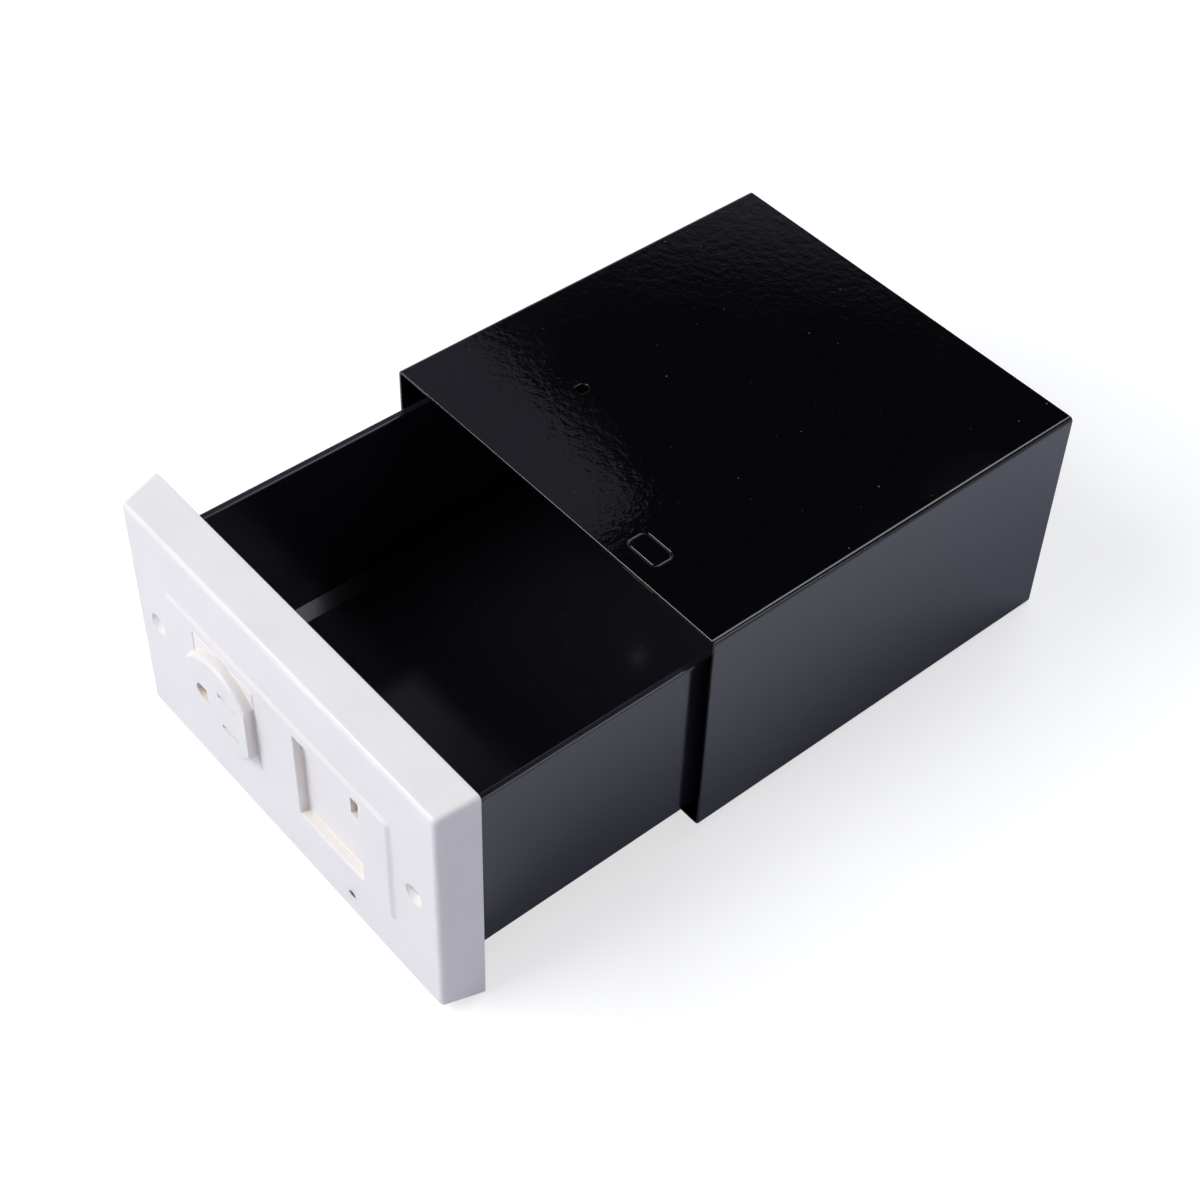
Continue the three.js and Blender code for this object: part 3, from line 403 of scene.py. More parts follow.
def turned(profile, x, z, steps=ROUND_STEPS, closed=False):
    """A body turned about a line along Y from (radius, y) pairs."""
    bm = bmesh.new()
    points = [bm.verts.new((x + radius, y, z)) for radius, y in profile]
    ends = points[1:] + points[:1] if closed else points[1:]
    edges = [bm.edges.new(pair) for pair in zip(points, ends)]
    bmesh.ops.spin(
        bm, geom=points + edges, cent=(x, 0, z), axis=(0, 1, 0), angle=2 * math.pi,
        steps=steps, use_merge=True,
    )
    bmesh.ops.remove_doubles(bm, verts=bm.verts, dist=MERGE)
    bmesh.ops.recalc_face_normals(bm, faces=bm.faces)
    return bm


def peg(diameter, y0, y1, x, z, steps=HOLE_STEPS):
    """A plain round rod along Y."""
    radius = diameter / 2
    return turned([(0, y0), (radius, y0), (radius, y1), (0, y1)], x, z, steps)


def loose(bm):
    """An object for a modifier to work on, which is removed after."""
    mesh = bpy.data.meshes.new("loose")
    bm.to_mesh(mesh)
    bm.free()
    made = bpy.data.objects.new("loose", mesh)
    bpy.context.scene.collection.objects.link(made)
    return made


def worked(bm, *steps):
    """The shape after a row of modifiers, each a kind with its settings."""
    base = loose(bm)
    used = [base]
    for kind, settings in steps:
        modifier = base.modifiers.new(kind, kind)
        for name, value in settings.items():
            if isinstance(value, bmesh.types.BMesh):
                value = loose(value)
                used.append(value)
            setattr(modifier, name, value)
    result = bmesh.new()
    result.from_object(base, bpy.context.evaluated_depsgraph_get())
    for made in used:
        bpy.data.meshes.remove(made.data)
    return result


def combined(bm, operation, tools):
    steps = [("BOOLEAN", {"operation": operation, "solver": "EXACT", "object": t}) for t in tools]
    return worked(bm, *steps)


def cut(bm, *tools):
    return combined(bm, "DIFFERENCE", tools)


def joined(bm, *tools):
    return combined(bm, "UNION", tools)


def kept(bm, *tools):
    return combined(bm, "INTERSECT", tools)


def walled(bm, thickness):
    """A skin given its thickness inwards."""
    return worked(bm, ("SOLIDIFY", {"thickness": thickness, "offset": -1, "use_even_offset": True}))


def finished(name, bm, node, smooth=35):
    """The piece that is shown for a node, in metres, with the finish of the node's slot."""
    bmesh.ops.scale(bm, vec=(MM, MM, MM), verts=bm.verts)
    mesh = bpy.data.meshes.new(name)
    bm.to_mesh(mesh)
    bm.free()
    mesh.shade_smooth()
    mesh.set_sharp_from_angle(angle=math.radians(smooth))
    mesh.materials.append(FINISHES[SLOT_OF_NODE[node]])
    made = bpy.data.objects.new(name, mesh)
    bpy.context.scene.collection.objects.link(made)
    even = made.modifiers.new("even_shading", "WEIGHTED_NORMAL")
    even.keep_sharp = True
    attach(made, frame["nodes"][node]["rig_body"])
    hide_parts(node)
    return made


# Sleeve

def sleeve_shell():
    bm = slab(SLEEVE_LOW, SLEEVE_HIGH, SLEEVE_BEND, Y, steps=8)
    ends = faces_towards(bm, Y, 1) + faces_towards(bm, Y, -1)
    bmesh.ops.delete(bm, geom=ends, context="FACES")
    bm = walled(bm, SHEET)
    soften(bm, SLEEVE_RIM_ROUND)
    half = SEAM_WIDTH / 2
    seam = slab(
        (SEAM_X - half, SLEEVE_LOW.y - PAST, SLEEVE_LOW.z - PAST),
        (SEAM_X + half, SLEEVE_HIGH.y + PAST, SLEEVE_LOW.z + SEAM_DEPTH),
    )
    bm = cut(bm, seam, keeper_witness(), tongue_window())
    soften(bm, LANCE_ROUND, on_lance_edge)
    return finished("folded_sleeve", joined(bm, bent_tongue()), "outer_sleeve")


def on_lance_edge(p):
    """Whether a corner lies on the sleeve's top at the mouth of the tongue's window."""
    away = p - TONGUE_PLACE
    return (
        away.z > -ON_LEVEL and abs(away.x) < TONGUE_RADIUS + PAST
        and -PAST < away.y < TONGUE_LENGTH + PAST
    )


def keeper_witness():
    """A ring of round section, for the soft groove on the top where the keeper is welded on below."""
    low, high = span("latch_keeper")
    radius, inset = WITNESS_RADIUS, WITNESS_INSET
    floor = SLEEVE_HIGH.z - WITNESS_DEPTH
    outer, inner = [
        slab(
            (low.x + inset - reach, low.y + inset - reach, floor - past),
            (high.x - inset + reach, high.y - inset + reach, floor + 2 * radius + past),
            WITNESS_CORNER + reach, Z, steps=10,
        )
        for reach, past in ((radius, 0), (-radius, PAST))
    ]
    ring = cut(outer, inner)
    soften(ring, radius - ON_LEVEL, steps=10)
    return ring


def tongue(half_width, length, z0, z1):
    """A tongue from its root at y = 0 to its round end."""
    bm = slab((-half_width, 0, z0), (half_width, length, z1))
    tips = [edge for edge in edges_along(bm, Z) if edge.verts[0].co.y > length / 2]
    round_edges(bm, tips, half_width - 2 * ON_LEVEL, steps=10)
    return bm


def tongue_window():
    bm = tongue(TONGUE_RADIUS + LANCE_GAP, TONGUE_LENGTH + LANCE_GAP, -SHEET - PAST, PAST)
    move(bm, TONGUE_PLACE)
    return bm


def bent_tongue():
    """The lanced tongue that the drawer's finger meets, bent down from the sleeve's top."""
    bm = tongue(TONGUE_RADIUS, TONGUE_LENGTH, -SHEET, 0)
    rotate(bm, -math.asin(TONGUE_DROP / TONGUE_LENGTH), "X")
    root = slab((-TONGUE_RADIUS, -SHEET, -SHEET), (TONGUE_RADIUS, TONGUE_ROOT, 0))
    bm = joined(bm, root)
    move(bm, TONGUE_PLACE)
    return bm


def rear_pan():
    low, high = span("back_panel")
    bm = slab(low, high, PAN_BEND, Y, steps=6)
    round_edges(bm, edges_on(bm, Y, high.y), PAN_REAR_BEND, steps=6)
    bmesh.ops.delete(bm, geom=faces_towards(bm, Y, -1), context="FACES")
    bm = walled(bm, SHEET)
    soften(bm, EDGE_BREAK, lambda p: p.y < low.y + ON_LEVEL)
    return finished("rear_pan", bm, "back_panel")


def keeper_bracket():
    low, high = span("latch_keeper")
    bm = slab(low, high)
    upper = [edge for edge in edges_along(bm, X) if edge.verts[0].co.z > high.z - ON_LEVEL]
    round_edges(bm, upper, KEEPER_BEND, steps=6)
    open_sides = faces_towards(bm, X, 1) + faces_towards(bm, X, -1) + faces_towards(bm, Z, -1)
    bmesh.ops.delete(bm, geom=open_sides, context="FACES")
    bm = walled(bm, KEEPER_SHEET)
    soften(bm, EDGE_BREAK, steps=2)
    return finished("keeper_bracket", bm, "latch_keeper")


# Drawer

def drawer_shell():
    """The tray: a block hollowed from its rim, with sloped feet inside along its side walls."""
    low, high = TRAY_LOW, TRAY_HIGH
    rim = high.z - TRAY_RIM_DROP
    base = low.z + RUNNER_HEIGHT
    floor = base + TRAY_FLOOR
    back = high.y - FINGER_OVERHANG
    front = low.y
    bm = slab((low.x, front, base), (high.x, back, rim))
    top = faces_towards(bm, Z, 1)
    bmesh.ops.inset_region(bm, faces=top, thickness=TRAY_WALL, use_even_offset=True)
    bmesh.ops.inset_region(bm, faces=top, thickness=0, depth=floor - rim, use_even_offset=True)
    level = edges_on(bm, Z, floor)
    feet = [edge for edge in edges_along(bm, Y) if edge in level]
    round_edges(bm, feet, FOOT_CHAMFER, steps=1)
    corners = [edge for edge in edges_along(bm, Z) if edge.calc_length() > rim / 2]
    round_edges(bm, corners, TRAY_CORNER, steps=4)
    soften(bm, RIM_ROUND, lambda p: p.z > rim - ON_LEVEL)
    y0, y1 = front - PAST, front + TRAY_WALL + PAST
    flats = HOUSING_FLATS + 2 * HOUSING_CLEARANCE
    lock_hole = kept(
        peg(HOUSING_HOLE, y0, y1, LOCK_X, LOCK_Z, steps=48),
        block(flats, 2 * HOUSING_DIAMETER, y0 - PAST, y1 + PAST, LOCK_X, LOCK_Z),
    )
    screw_holes = [peg(SCREW_HOLE, y0, y1, x, z) for x, z in SCREW_PLACES]
    bm = cut(bm, lock_hole, *screw_holes)
    bm = joined(bm, runner(-1, base), runner(1, base), stop_finger(rim, back))
    return finished("drawer_shell", bm, "drawer_tray")


def runner(side, base):
    middle = side * (TRAY_HIGH.x - RUNNER_INSET - RUNNER_WIDTH / 2)
    half = RUNNER_WIDTH / 2
    end = TRAY_LOW.y + RUNNER_LENGTH
    start = TRAY_LOW.y + RUNNER_SETBACK
    bm = slab((middle - half, start, TRAY_LOW.z), (middle + half, end, base + WELD))
    nose = [e for e in edges_on(bm, Z, TRAY_LOW.z) if all(v.co.y > end - ON_LEVEL for v in e.verts)]
    round_edges(bm, nose, RUNNER_HEIGHT - WELD, steps=1)
    round_edges(bm, [e for e in edges_along(bm, Y) if e.verts[0].co.z < base], RUNNER_ROUND)
    return bm


def stop_finger(rim, back):
    """The finger on the rear wall that meets the sleeve's tongue when the drawer is right out."""
    foot = rim - FINGER_ROOT
    bm = slab(
        (STOP_X - FINGER_WIDTH / 2, back - TRAY_WALL, foot),
        (STOP_X + FINGER_WIDTH / 2, TRAY_HIGH.y, TRAY_HIGH.z),
    )
    toe = [e for e in edges_on(bm, Z, foot) if all(v.co.y > back for v in e.verts)]
    round_edges(bm, toe, FINGER_OVERHANG, steps=1)
    soften(bm, FINGER_ROUND, lambda p: p.z > rim + TRAY_WALL)
    return bm


# Faceplate

def plate_moulding():
    outside = cut(drafted_block(), plate_hollow())
    soften(outside, PLATE_RIM_ROUND, lambda p: p.y > PLATE_RIM - ON_LEVEL)
    backing = [kept(tool, drafted_block()) for tool in gussets()]
    bm = joined(outside, raised_panel(), *backing, *bosses(), *pocket_cups())
    soften(bm, PANEL_FILLET, on_panel_foot)
    bm = cut(bm, *plate_holes())
    soften(bm, POCKET_MOUTH, lambda p: abs(p.y - PANEL_FACE) < ON_LEVEL)
    return finished("plate_moulding", bm, "faceplate")


def on_panel_foot(p):
    """Whether a corner lies where the raised panel meets the plate."""
    across, up = abs(p.x), abs(p.z - PLATE_Z)
    return (
        abs(p.y - PLATE_FACE) < ON_LEVEL and across < PANEL_WIDTH / 2 + ON_LEVEL
        and up < PANEL_HEIGHT / 2 + ON_LEVEL
    )


def drafted(inset, front, back):
    """A block whose sides lean in towards the front, a distance inside the plate's own sides."""
    grow = PLATE_DRAFT * (back - PLATE_RIM) / PLATE_DEPTH - inset
    bm = slab(
        (PLATE_LOW.x - grow, front, PLATE_LOW.z - grow),
        (PLATE_HIGH.x + grow, back, PLATE_HIGH.z + grow),
    )
    face = [vert for vert in bm.verts if vert.co.y < (front + back) / 2]
    width, height = PLATE_HIGH.x - PLATE_LOW.x + 2 * grow, PLATE_HIGH.z - PLATE_LOW.z + 2 * grow
    lean = PLATE_DRAFT * (back - front) / PLATE_DEPTH
    shrink = Vector((1 - 2 * lean / width, 1, 1 - 2 * lean / height))
    bmesh.ops.scale(bm, vec=shrink, space=Matrix.Translation((0, 0, -PLATE_Z)), verts=face)
    return bm


def drafted_block():
    """The plate's outside, which leans in from its rear rim to its front."""
    bm = drafted(0, PLATE_FACE, PLATE_RIM)
    round_edges(bm, edges_along(bm, Y), PLATE_CORNER, steps=5)
    round_edges(bm, edges_on(bm, Y, PLATE_FACE), PLATE_EDGE, steps=6)
    return bm


def plate_hollow():
    bm = drafted(PLATE_WALL, HOLLOW_FACE, PLATE_RIM + PAST)
    round_edges(bm, edges_along(bm, Y), HOLLOW_CORNER)
    return bm


def raised_panel():
    """The low panel on the plate's front, with soft sloping sides."""
    bm = block(
        PANEL_WIDTH, PANEL_HEIGHT, PANEL_FACE, PLATE_FACE + WELD, 0, PLATE_Z, PANEL_CORNER, steps=5
    )
    face = [vert for vert in bm.verts if vert.co.y < PANEL_FACE + ON_LEVEL]
    shrink = Vector((1 - 2 * PANEL_SLOPE / PANEL_WIDTH, 1, 1 - 2 * PANEL_SLOPE / PANEL_HEIGHT))
    bmesh.ops.scale(bm, vec=shrink, space=Matrix.Translation((0, 0, -PLATE_Z)), verts=face)
    round_edges(bm, edges_on(bm, Y, PANEL_FACE), PANEL_EDGE, steps=4)
    return bm


def pocket_cups():
    """The walls behind the two pockets."""
    width, height = POCKET_WIDTH + 2 * POCKET_WALL, POCKET_HEIGHT + 2 * POCKET_WALL
    return [
        block(width, height, HOLLOW_FACE - WELD, POCKET_BACK, x, PLATE_Z, CUP_CORNER, steps=3)
        for x in (-POCKET_X, POCKET_X)
    ]


def bosses():
    front = HOLLOW_FACE - WELD
    made = [peg(SCREW_BOSS, front, PLATE_RIM, x, z, steps=44) for x, z in SCREW_PLACES]
    fixing_back = PLATE_FACE + FIXING_DEPTH + FIXING_BOSS_FLOOR
    for x in (-FIXING_X, FIXING_X):
        made.append(peg(FIXING_BOSS, front, fixing_back, x, PLATE_Z))
    made.append(peg(INSERT_SOCKET, POCKET_BACK - WELD, SOCKET_BACK, SOCKET_X, PLATE_Z))
    return made


def gussets():
    """The ribs round the plate's hollow, which meet the sleeve's edge when the drawer is shut."""
    front = HOLLOW_FACE - WELD
    upright = (PLATE_HIGH.z - PLATE_LOW.z - PLATE_WALL) / 2
    across = (PLATE_HIGH.x - PLATE_LOW.x - PLATE_WALL) / 2
    sleeve_upright = (SLEEVE_HIGH.z - SLEEVE_LOW.z) / 2 - SHEET - GUSSET_REACH
    sleeve_across = SLEEVE_HIGH.x - SHEET - GUSSET_REACH
    width, back = GUSSET_WIDTH, PLATE_RIM - GUSSET_SETBACK
    made = []
    for side in (-1, 1):
        z = PLATE_Z + side * (sleeve_upright + upright) / 2
        for i in range(GUSSETS_PER_LONG_SIDE):
            x = (i - (GUSSETS_PER_LONG_SIDE - 1) / 2) * GUSSET_PITCH
            made.append(block(width, upright - sleeve_upright, front, back, x, z))
        x = side * (sleeve_across + across) / 2
        for z in (PLATE_Z - GUSSET_PITCH / 2, PLATE_Z + GUSSET_PITCH / 2):
            made.append(block(across - sleeve_across, width, front, back, x, z))
    return made


def plate_holes():
    pockets = []
    for x in (-POCKET_X, POCKET_X):
        pocket = block(
            POCKET_WIDTH, POCKET_HEIGHT, PANEL_FACE - PAST, POCKET_FLOOR, x, PLATE_Z, POCKET_CORNER
        )
        round_edges(pocket, edges_on(pocket, Y, POCKET_FLOOR), POCKET_FLOOR_ROUND)
        pockets.append(pocket)
    key_slot = block(
        KEY_SLOT_WIDTH, KEY_SLOT_HEIGHT, POCKET_FLOOR - PAST, POCKET_BACK + PAST, LOCK_X, LOCK_Z,
        KEY_SLOT_CORNER, steps=3,
    )
    screw_holes = [
        peg(SCREW_HOLE, PLATE_RIM - SCREW_HOLE_DEPTH, PLATE_RIM + PAST, x, z)
        for x, z in SCREW_PLACES
    ]
    socket = peg(INSERT_SCREW_HOLE, POCKET_FLOOR - PAST, SOCKET_BACK + PAST, SOCKET_X, PLATE_Z)
    fixings = [fixing_hole(x) for x in (-FIXING_X, FIXING_X)]
    return [*pockets, key_slot, *screw_holes, socket, *fixings, pin_hole()]


def fixing_hole(x):
    """A blind countersunk hole with a soft mouth."""
    sink, bore, mouth = FIXING_SINK / 2, FIXING_BORE / 2, FIXING_MOUTH
    lip = arc((sink + mouth, PLATE_FACE + mouth), mouth, -90, -180, 4)
    profile = [
        (0, PLATE_FACE - PAST), (sink + mouth, PLATE_FACE - PAST), *lip,
        (bore, PLATE_FACE + FIXING_SINK_DEPTH), (bore, PLATE_FACE + FIXING_DEPTH),
        (0, PLATE_FACE + FIXING_DEPTH),
    ]
    return turned(profile, x, PLATE_Z, steps=48)


def pin_hole():
    """A small hole with a flared mouth, and a wide recess behind it."""
    flare, bore, recess = PIN_FLARE / 2, PIN_HOLE / 2, PIN_RECESS / 2
    lip = arc((flare, PLATE_FACE + PIN_FLARE_DEPTH), flare - bore, -90, -180, 6)
    profile = [
        (0, PLATE_FACE - PAST), (flare, PLATE_FACE - PAST), *lip,
        (bore, PLATE_FACE + PIN_WALL), (recess, PLATE_FACE + PIN_WALL),
        (recess, HOLLOW_FACE + PAST), (0, HOLLOW_FACE + PAST),
    ]
    return turned(profile, PIN_X, PLATE_LOW.z + PIN_INSET, steps=40)


# Outlet insert

def socket_face():
    """The raised socket face, turned a quarter turn, that fills the left pocket."""
    low, high = span("outlet_insert")
    face, back = low.y, high.y
    middle = (low + high) / 2
    base = slab((low.x, PANEL_FACE, low.z), high, INSERT_CORNER)
    round_edges(base, edges_on(base, Y, PANEL_FACE), INSERT_EDGE)
    hollow_face = face + INSERT_FRONT
    width = high.x - low.x - 2 * INSERT_WALL
    height = math.sqrt((2 * (FACE_RADIUS - INSERT_WALL)) ** 2 - width ** 2)
    hollow = block(
        width, height, hollow_face, back + PAST, middle.x, middle.z, INSERT_HOLLOW_CORNER, steps=3
    )
    ground = middle.x + GROUND_X
    boss = peg(INSERT_BOSS, hollow_face - WELD, back, ground, middle.z)
    bm = joined(cut(joined(base, face_disc(low, high)), hollow), boss)
    screw_hole = peg(INSERT_SCREW_HOLE, face + GROUND_DEPTH - PAST, back + PAST, ground, middle.z)
    slots = [
        blade_slot(middle, BLADE_SPREAD, BLADE_LONG, face),
        blade_slot(middle, -BLADE_SPREAD, BLADE_SHORT, face),
    ]
    bm = cut(bm, ground_hole(ground, middle.z, face), screw_hole, *slots)
    soften(bm, SLOT_MOUTH, lambda p: abs(p.y - face) < ON_LEVEL)
    return finished("socket_face", bm, "outlet_insert")


def face_disc(low, high):
    """The round face with its soft shoulder, cut flat at the insert's two sides."""
    middle = (low + high) / 2
    face, root = low.y, PANEL_FACE + WELD
    shoulder = arc(
        (FACE_RADIUS - FACE_SHOULDER, face + FACE_SHOULDER), FACE_SHOULDER, -90, 0, 10
    )
    profile = [(0, face), *shoulder, (FACE_RADIUS, root), (0, root)]
    disc = turned(profile, middle.x, middle.z, steps=96)
    flatter = Vector((1, 1, (high.z - low.z) / 2 / FACE_RADIUS))
    bmesh.ops.scale(disc, vec=flatter, space=Matrix.Translation((0, 0, -middle.z)), verts=disc.verts)
    flats = slab((low.x + INSERT_EDGE, face - PAST, low.z), (high.x - INSERT_EDGE, high.y, high.z))
    disc = kept(disc, flats)
    side = (high.x - low.x) / 2 - INSERT_EDGE

    def on_flat(p):
        return abs(abs(p.x - middle.x) - side) < ON_LEVEL and p.y < PANEL_FACE - ON_LEVEL

    soften(disc, FLAT_ROUND, on_flat, steps=4, least=45)
    return disc


def ground_hole(x, z, face):
    """Round towards the left and square towards the blade slots."""
    bm = block(GROUND_WIDTH, GROUND_WIDTH, face - PAST, face + GROUND_DEPTH, x, z)
    left = [edge for edge in edges_along(bm, Y) if edge.verts[0].co.x < x]
    round_edges(bm, left, GROUND_WIDTH / 2 - ON_LEVEL, steps=8)
    return bm


def blade_slot(middle, rise, length, face):
    x, z = middle.x + BLADE_X, middle.z + rise
    y0, y1 = face - PAST, face + BLADE_DEPTH
    return block(length, BLADE_HEIGHT, y0, y1, x, z, BLADE_CORNER, steps=2)


# Screws

def screw(name, node, head_towards, head_height, shank, slotted=False):
    """A pan head screw with a threaded shank along Y."""
    low, high = span(node)
    x, z = axis_of(node)
    head, core = (high.x - low.x) / 2, shank / 2
    crown, tip = (high.y, low.y) if head_towards > 0 else (low.y, high.y)
    way = head_towards
    seat = crown - way * head_height
    dome = [(head * out, crown - way * head_height * down) for out, down in SCREW_DOME]
    dome += [(head, seat + way * SCREW_EDGE), (head - SCREW_EDGE, seat)]
    turns = int(abs(tip - seat) / THREAD_STEP) - 1
    thread = []
    for i in range(turns):
        y = seat - way * THREAD_STEP * (i + 0.5)
        thread += [(core * THREAD_ROOT, y), (core, y - way * THREAD_STEP / 2)]
    profile = [*dome, (core * SCREW_NECK, seat), *thread, (core * SCREW_TIP, tip), (0, tip)]
    bm = turned(profile, x, z, SCREW_STEPS)
    depth = sorted((crown - way * RECESS_DEPTH, crown + way * PAST))
    if slotted:
        bm = cut(bm, block(2 * (head + PAST), RECESS_WIDTH, *depth, x, z))
    else:
        arms = 2 * head * RECESS_SHARE
        flat = block(arms, RECESS_WIDTH, *depth, x, z)
        upright = block(RECESS_WIDTH, arms, *depth, x, z)
        bm = cut(bm, flat, upright)
    return finished(name, bm, node)


# Lock

def lock_barrel():
    """The barrel with its flange, thread and two flats, and the stop for the washer's ear."""
    low, high = span("lock_housing")
    bore, outside, chamfer = HOUSING_BORE / 2, HOUSING_DIAMETER / 2, HOUSING_CHAMFER
    flange, flange_back = HOUSING_FLANGE / 2, PLATE_RIM
    flange_front = flange_back - FLANGE_THICKNESS
    front, back = low.y, high.y - HOUSING_TAIL
    sink, sink_floor = HOUSING_SINK / 2, front + HOUSING_SINK_DEPTH
    rings = int((back - flange_back - 2 * chamfer) / THREAD_PITCH)
    thread = []
    for i in range(rings):
        y = flange_back + chamfer + i * THREAD_PITCH
        thread += [(outside - THREAD_HEIGHT, y), (outside, y + THREAD_PITCH / 2)]
    profile = [
        (sink, front), (outside, front), (outside, flange_front),
        (flange - chamfer, flange_front), (flange, flange_front + chamfer), (flange, flange_back),
        *thread, (outside - THREAD_HEIGHT, back - chamfer), (outside - HOUSING_END, back),
        (bore, back), (bore, sink_floor), (sink, sink_floor),
    ]
    bm = turned(profile, LOCK_X, LOCK_Z, closed=True)
    half = (360 - LOCK_TURN - STOP_EAR_ANGLE) / 2 - STOP_PLAY_ANGLE
    inner = STOP_DISC / 2 + HOUSING_CLEARANCE
    stop = sector(inner, outside - STOP_INSET, -half, half, back - PAST, high.y)
    shaved = (HOUSING_DIAMETER - HOUSING_FLATS) / 2 + PAST
    away = (HOUSING_FLATS + shaved) / 2
    shaves = [
        block(shaved, HOUSING_DIAMETER, flange_back, high.y + PAST, x, LOCK_Z)
        for x in (LOCK_X + away, LOCK_X - away)
    ]
    return finished("lock_barrel_housing", cut(joined(bm, stop), *shaves), "lock_housing")


def sector(inner, outer, start, end, y0, y1, steps=16):
    """Part of a ring round the lock's axis between two angles in degrees."""
    bm = bmesh.new()
    corners = [(inner, y0), (outer, y0), (outer, y1), (inner, y1)]
    verts = [bm.verts.new((LOCK_X + radius, y, LOCK_Z)) for radius, y in corners]
    face = bm.faces.new(verts)
    centre = (LOCK_X, 0, LOCK_Z)
    rotate(bm, math.radians(-start), "Y", centre)
    bmesh.ops.spin(
        bm, geom=[face, *face.edges, *face.verts], cent=centre, axis=(0, 1, 0),
        angle=math.radians(start - end), steps=steps,
    )
    bmesh.ops.recalc_face_normals(bm, faces=bm.faces)
    return bm


def key_plug():
    low, high = span("lock_plug")
    head, body = PLUG_HEAD / 2, PLUG_DIAMETER / 2
    housing_back = span("lock_housing")[1].y - HOUSING_TAIL
    front, shoulder = low.y, low.y + PLUG_HEAD_THICKNESS
    rounding = arc((head - PLUG_ROUND, front + PLUG_ROUND), PLUG_ROUND, -90, 0, 4)
    profile = [
        (0, front), *rounding, (head, shoulder), (body, shoulder), (body, housing_back),
        (0, housing_back),
    ]
    bm = turned(profile, LOCK_X, LOCK_Z)
    tail = block(
        PLUG_SQUARE, PLUG_SQUARE, housing_back - WELD, high.y, LOCK_X, LOCK_Z, SQUARE_CORNER, steps=3
    )
    wafers = [span(f"wafer_{number}") for number in range(1, WAFER_COUNT + 1)]
    gap = WAFER_SIDE_GAP
    width = wafers[0][1].x - wafers[0][0].x + 2 * gap
    slots = [
        block(width, 2 * PLUG_HEAD, first.y - gap, last.y + gap, LOCK_X, LOCK_Z)
        for first, last in wafers
    ]
    end = wafers[-1][1].y + gap
    keyway = block(
        KEYWAY_WIDTH, KEYWAY_HEIGHT, front - PAST, end, LOCK_X, LOCK_Z, KEYWAY_CORNER, steps=2
    )
    bore = peg(CAM_SCREW_BORE, end + PLUG_WEB, span("cam_screw")[1].y, LOCK_X, LOCK_Z)
    return finished("key_plug", cut(joined(bm, tail), keyway, *slots, bore), "lock_plug")


def tumbler(number):
    low, high = span(f"wafer_{number}")
    window = block(
        WINDOW_WIDTH, WINDOW_HEIGHT, low.y - PAST, high.y + PAST, LOCK_X, LOCK_Z,
        WINDOW_CORNER, steps=3,
    )
    bm = cut(slab(low, high, WAFER_CORNER), window)
    soften(bm, WAFER_BREAK, steps=2)
    return finished(f"tumbler_{number}", bm, f"wafer_{number}")


def disc_with_hole(node, hole, edge=0.15):
    """A flat ring in a node's place, with softened edges."""
    low, high = span(node)
    outer, inner = (high.x - low.x) / 2, hole / 2
    profile = [
        (inner, low.y), (outer - edge, low.y), (outer, low.y + edge),
        (outer, high.y - edge), (outer - edge, high.y), (inner, high.y),
    ]
    return turned(profile, LOCK_X, LOCK_Z, closed=True)


def spur_ring():
    """A toothed washer under the nut."""
    low, high = span("lock_spur_washer")
    bm = disc_with_hole("lock_spur_washer", HOUSING_HOLE, FINE_BREAK)
    depth = WASHER_TOOTH + PAST
    middle = (high.x - low.x) / 2 - WASHER_TOOTH + depth / 2
    notches = []
    for tooth in range(WASHER_TEETH):
        notch = block(depth, WASHER_NOTCH, low.y - PAST, high.y + PAST, middle, 0)
        rotate(notch, 2 * math.pi * tooth / WASHER_TEETH, "Y")
        move(notch, (LOCK_X, 0, LOCK_Z))
        notches.append(notch)
    return finished("spur_ring", cut(bm, *notches), "lock_spur_washer")


def hexagon_nut():
    """The nut, with the corners of both its faces turned down."""
    low, high = span("lock_nut")
    corner, drop = (high.x - low.x) / 2, NUT_CHAMFER
    bm = bmesh.new()
    bmesh.ops.create_cone(
        bm, cap_ends=True, segments=6, radius1=corner, radius2=corner, depth=high.y - low.y,
        matrix=Matrix.Rotation(math.pi / 2, 4, "X"),
    )
    rotate(bm, math.pi / 2, "Y")
    move(bm, (LOCK_X, (low.y + high.y) / 2, LOCK_Z))
    profile = [
        (0, low.y), (corner - 2 * drop, low.y), (corner, low.y + drop),
        (corner, high.y - drop), (corner - 2 * drop, high.y), (0, high.y),
    ]
    bore = peg(HOUSING_HOLE, low.y - PAST, high.y + PAST, LOCK_X, LOCK_Z, ROUND_STEPS)
    bm = cut(kept(bm, turned(profile, LOCK_X, LOCK_Z)), bore)
    return finished("hexagon_nut", bm, "lock_nut")


def square_hole(y0, y1):
    return block(
        SQUARE_HOLE, SQUARE_HOLE, y0 - PAST, y1 + PAST, LOCK_X, LOCK_Z, SQUARE_CORNER, steps=3
    )


def turn_limit_washer():
    """The washer whose ear meets the barrel's stop at both ends of the plug's turn."""
    low, high = span("stop_washer")
    reach, half = LOCK_Z - low.z, STOP_EAR_ANGLE / 2
    disc = peg(2 * reach, low.y, high.y, LOCK_X, LOCK_Z, ROUND_STEPS)
    waste = sector(
        STOP_DISC / 2, reach + PAST, half - 90, 270 - half, low.y - PAST, high.y + PAST, ROUND_STEPS
    )
    bm = plain(cut(disc, waste, square_hole(low.y, high.y)))
    soften(bm, FINE_BREAK, steps=2)
    return finished("turn_limit_washer", bm, "stop_washer")


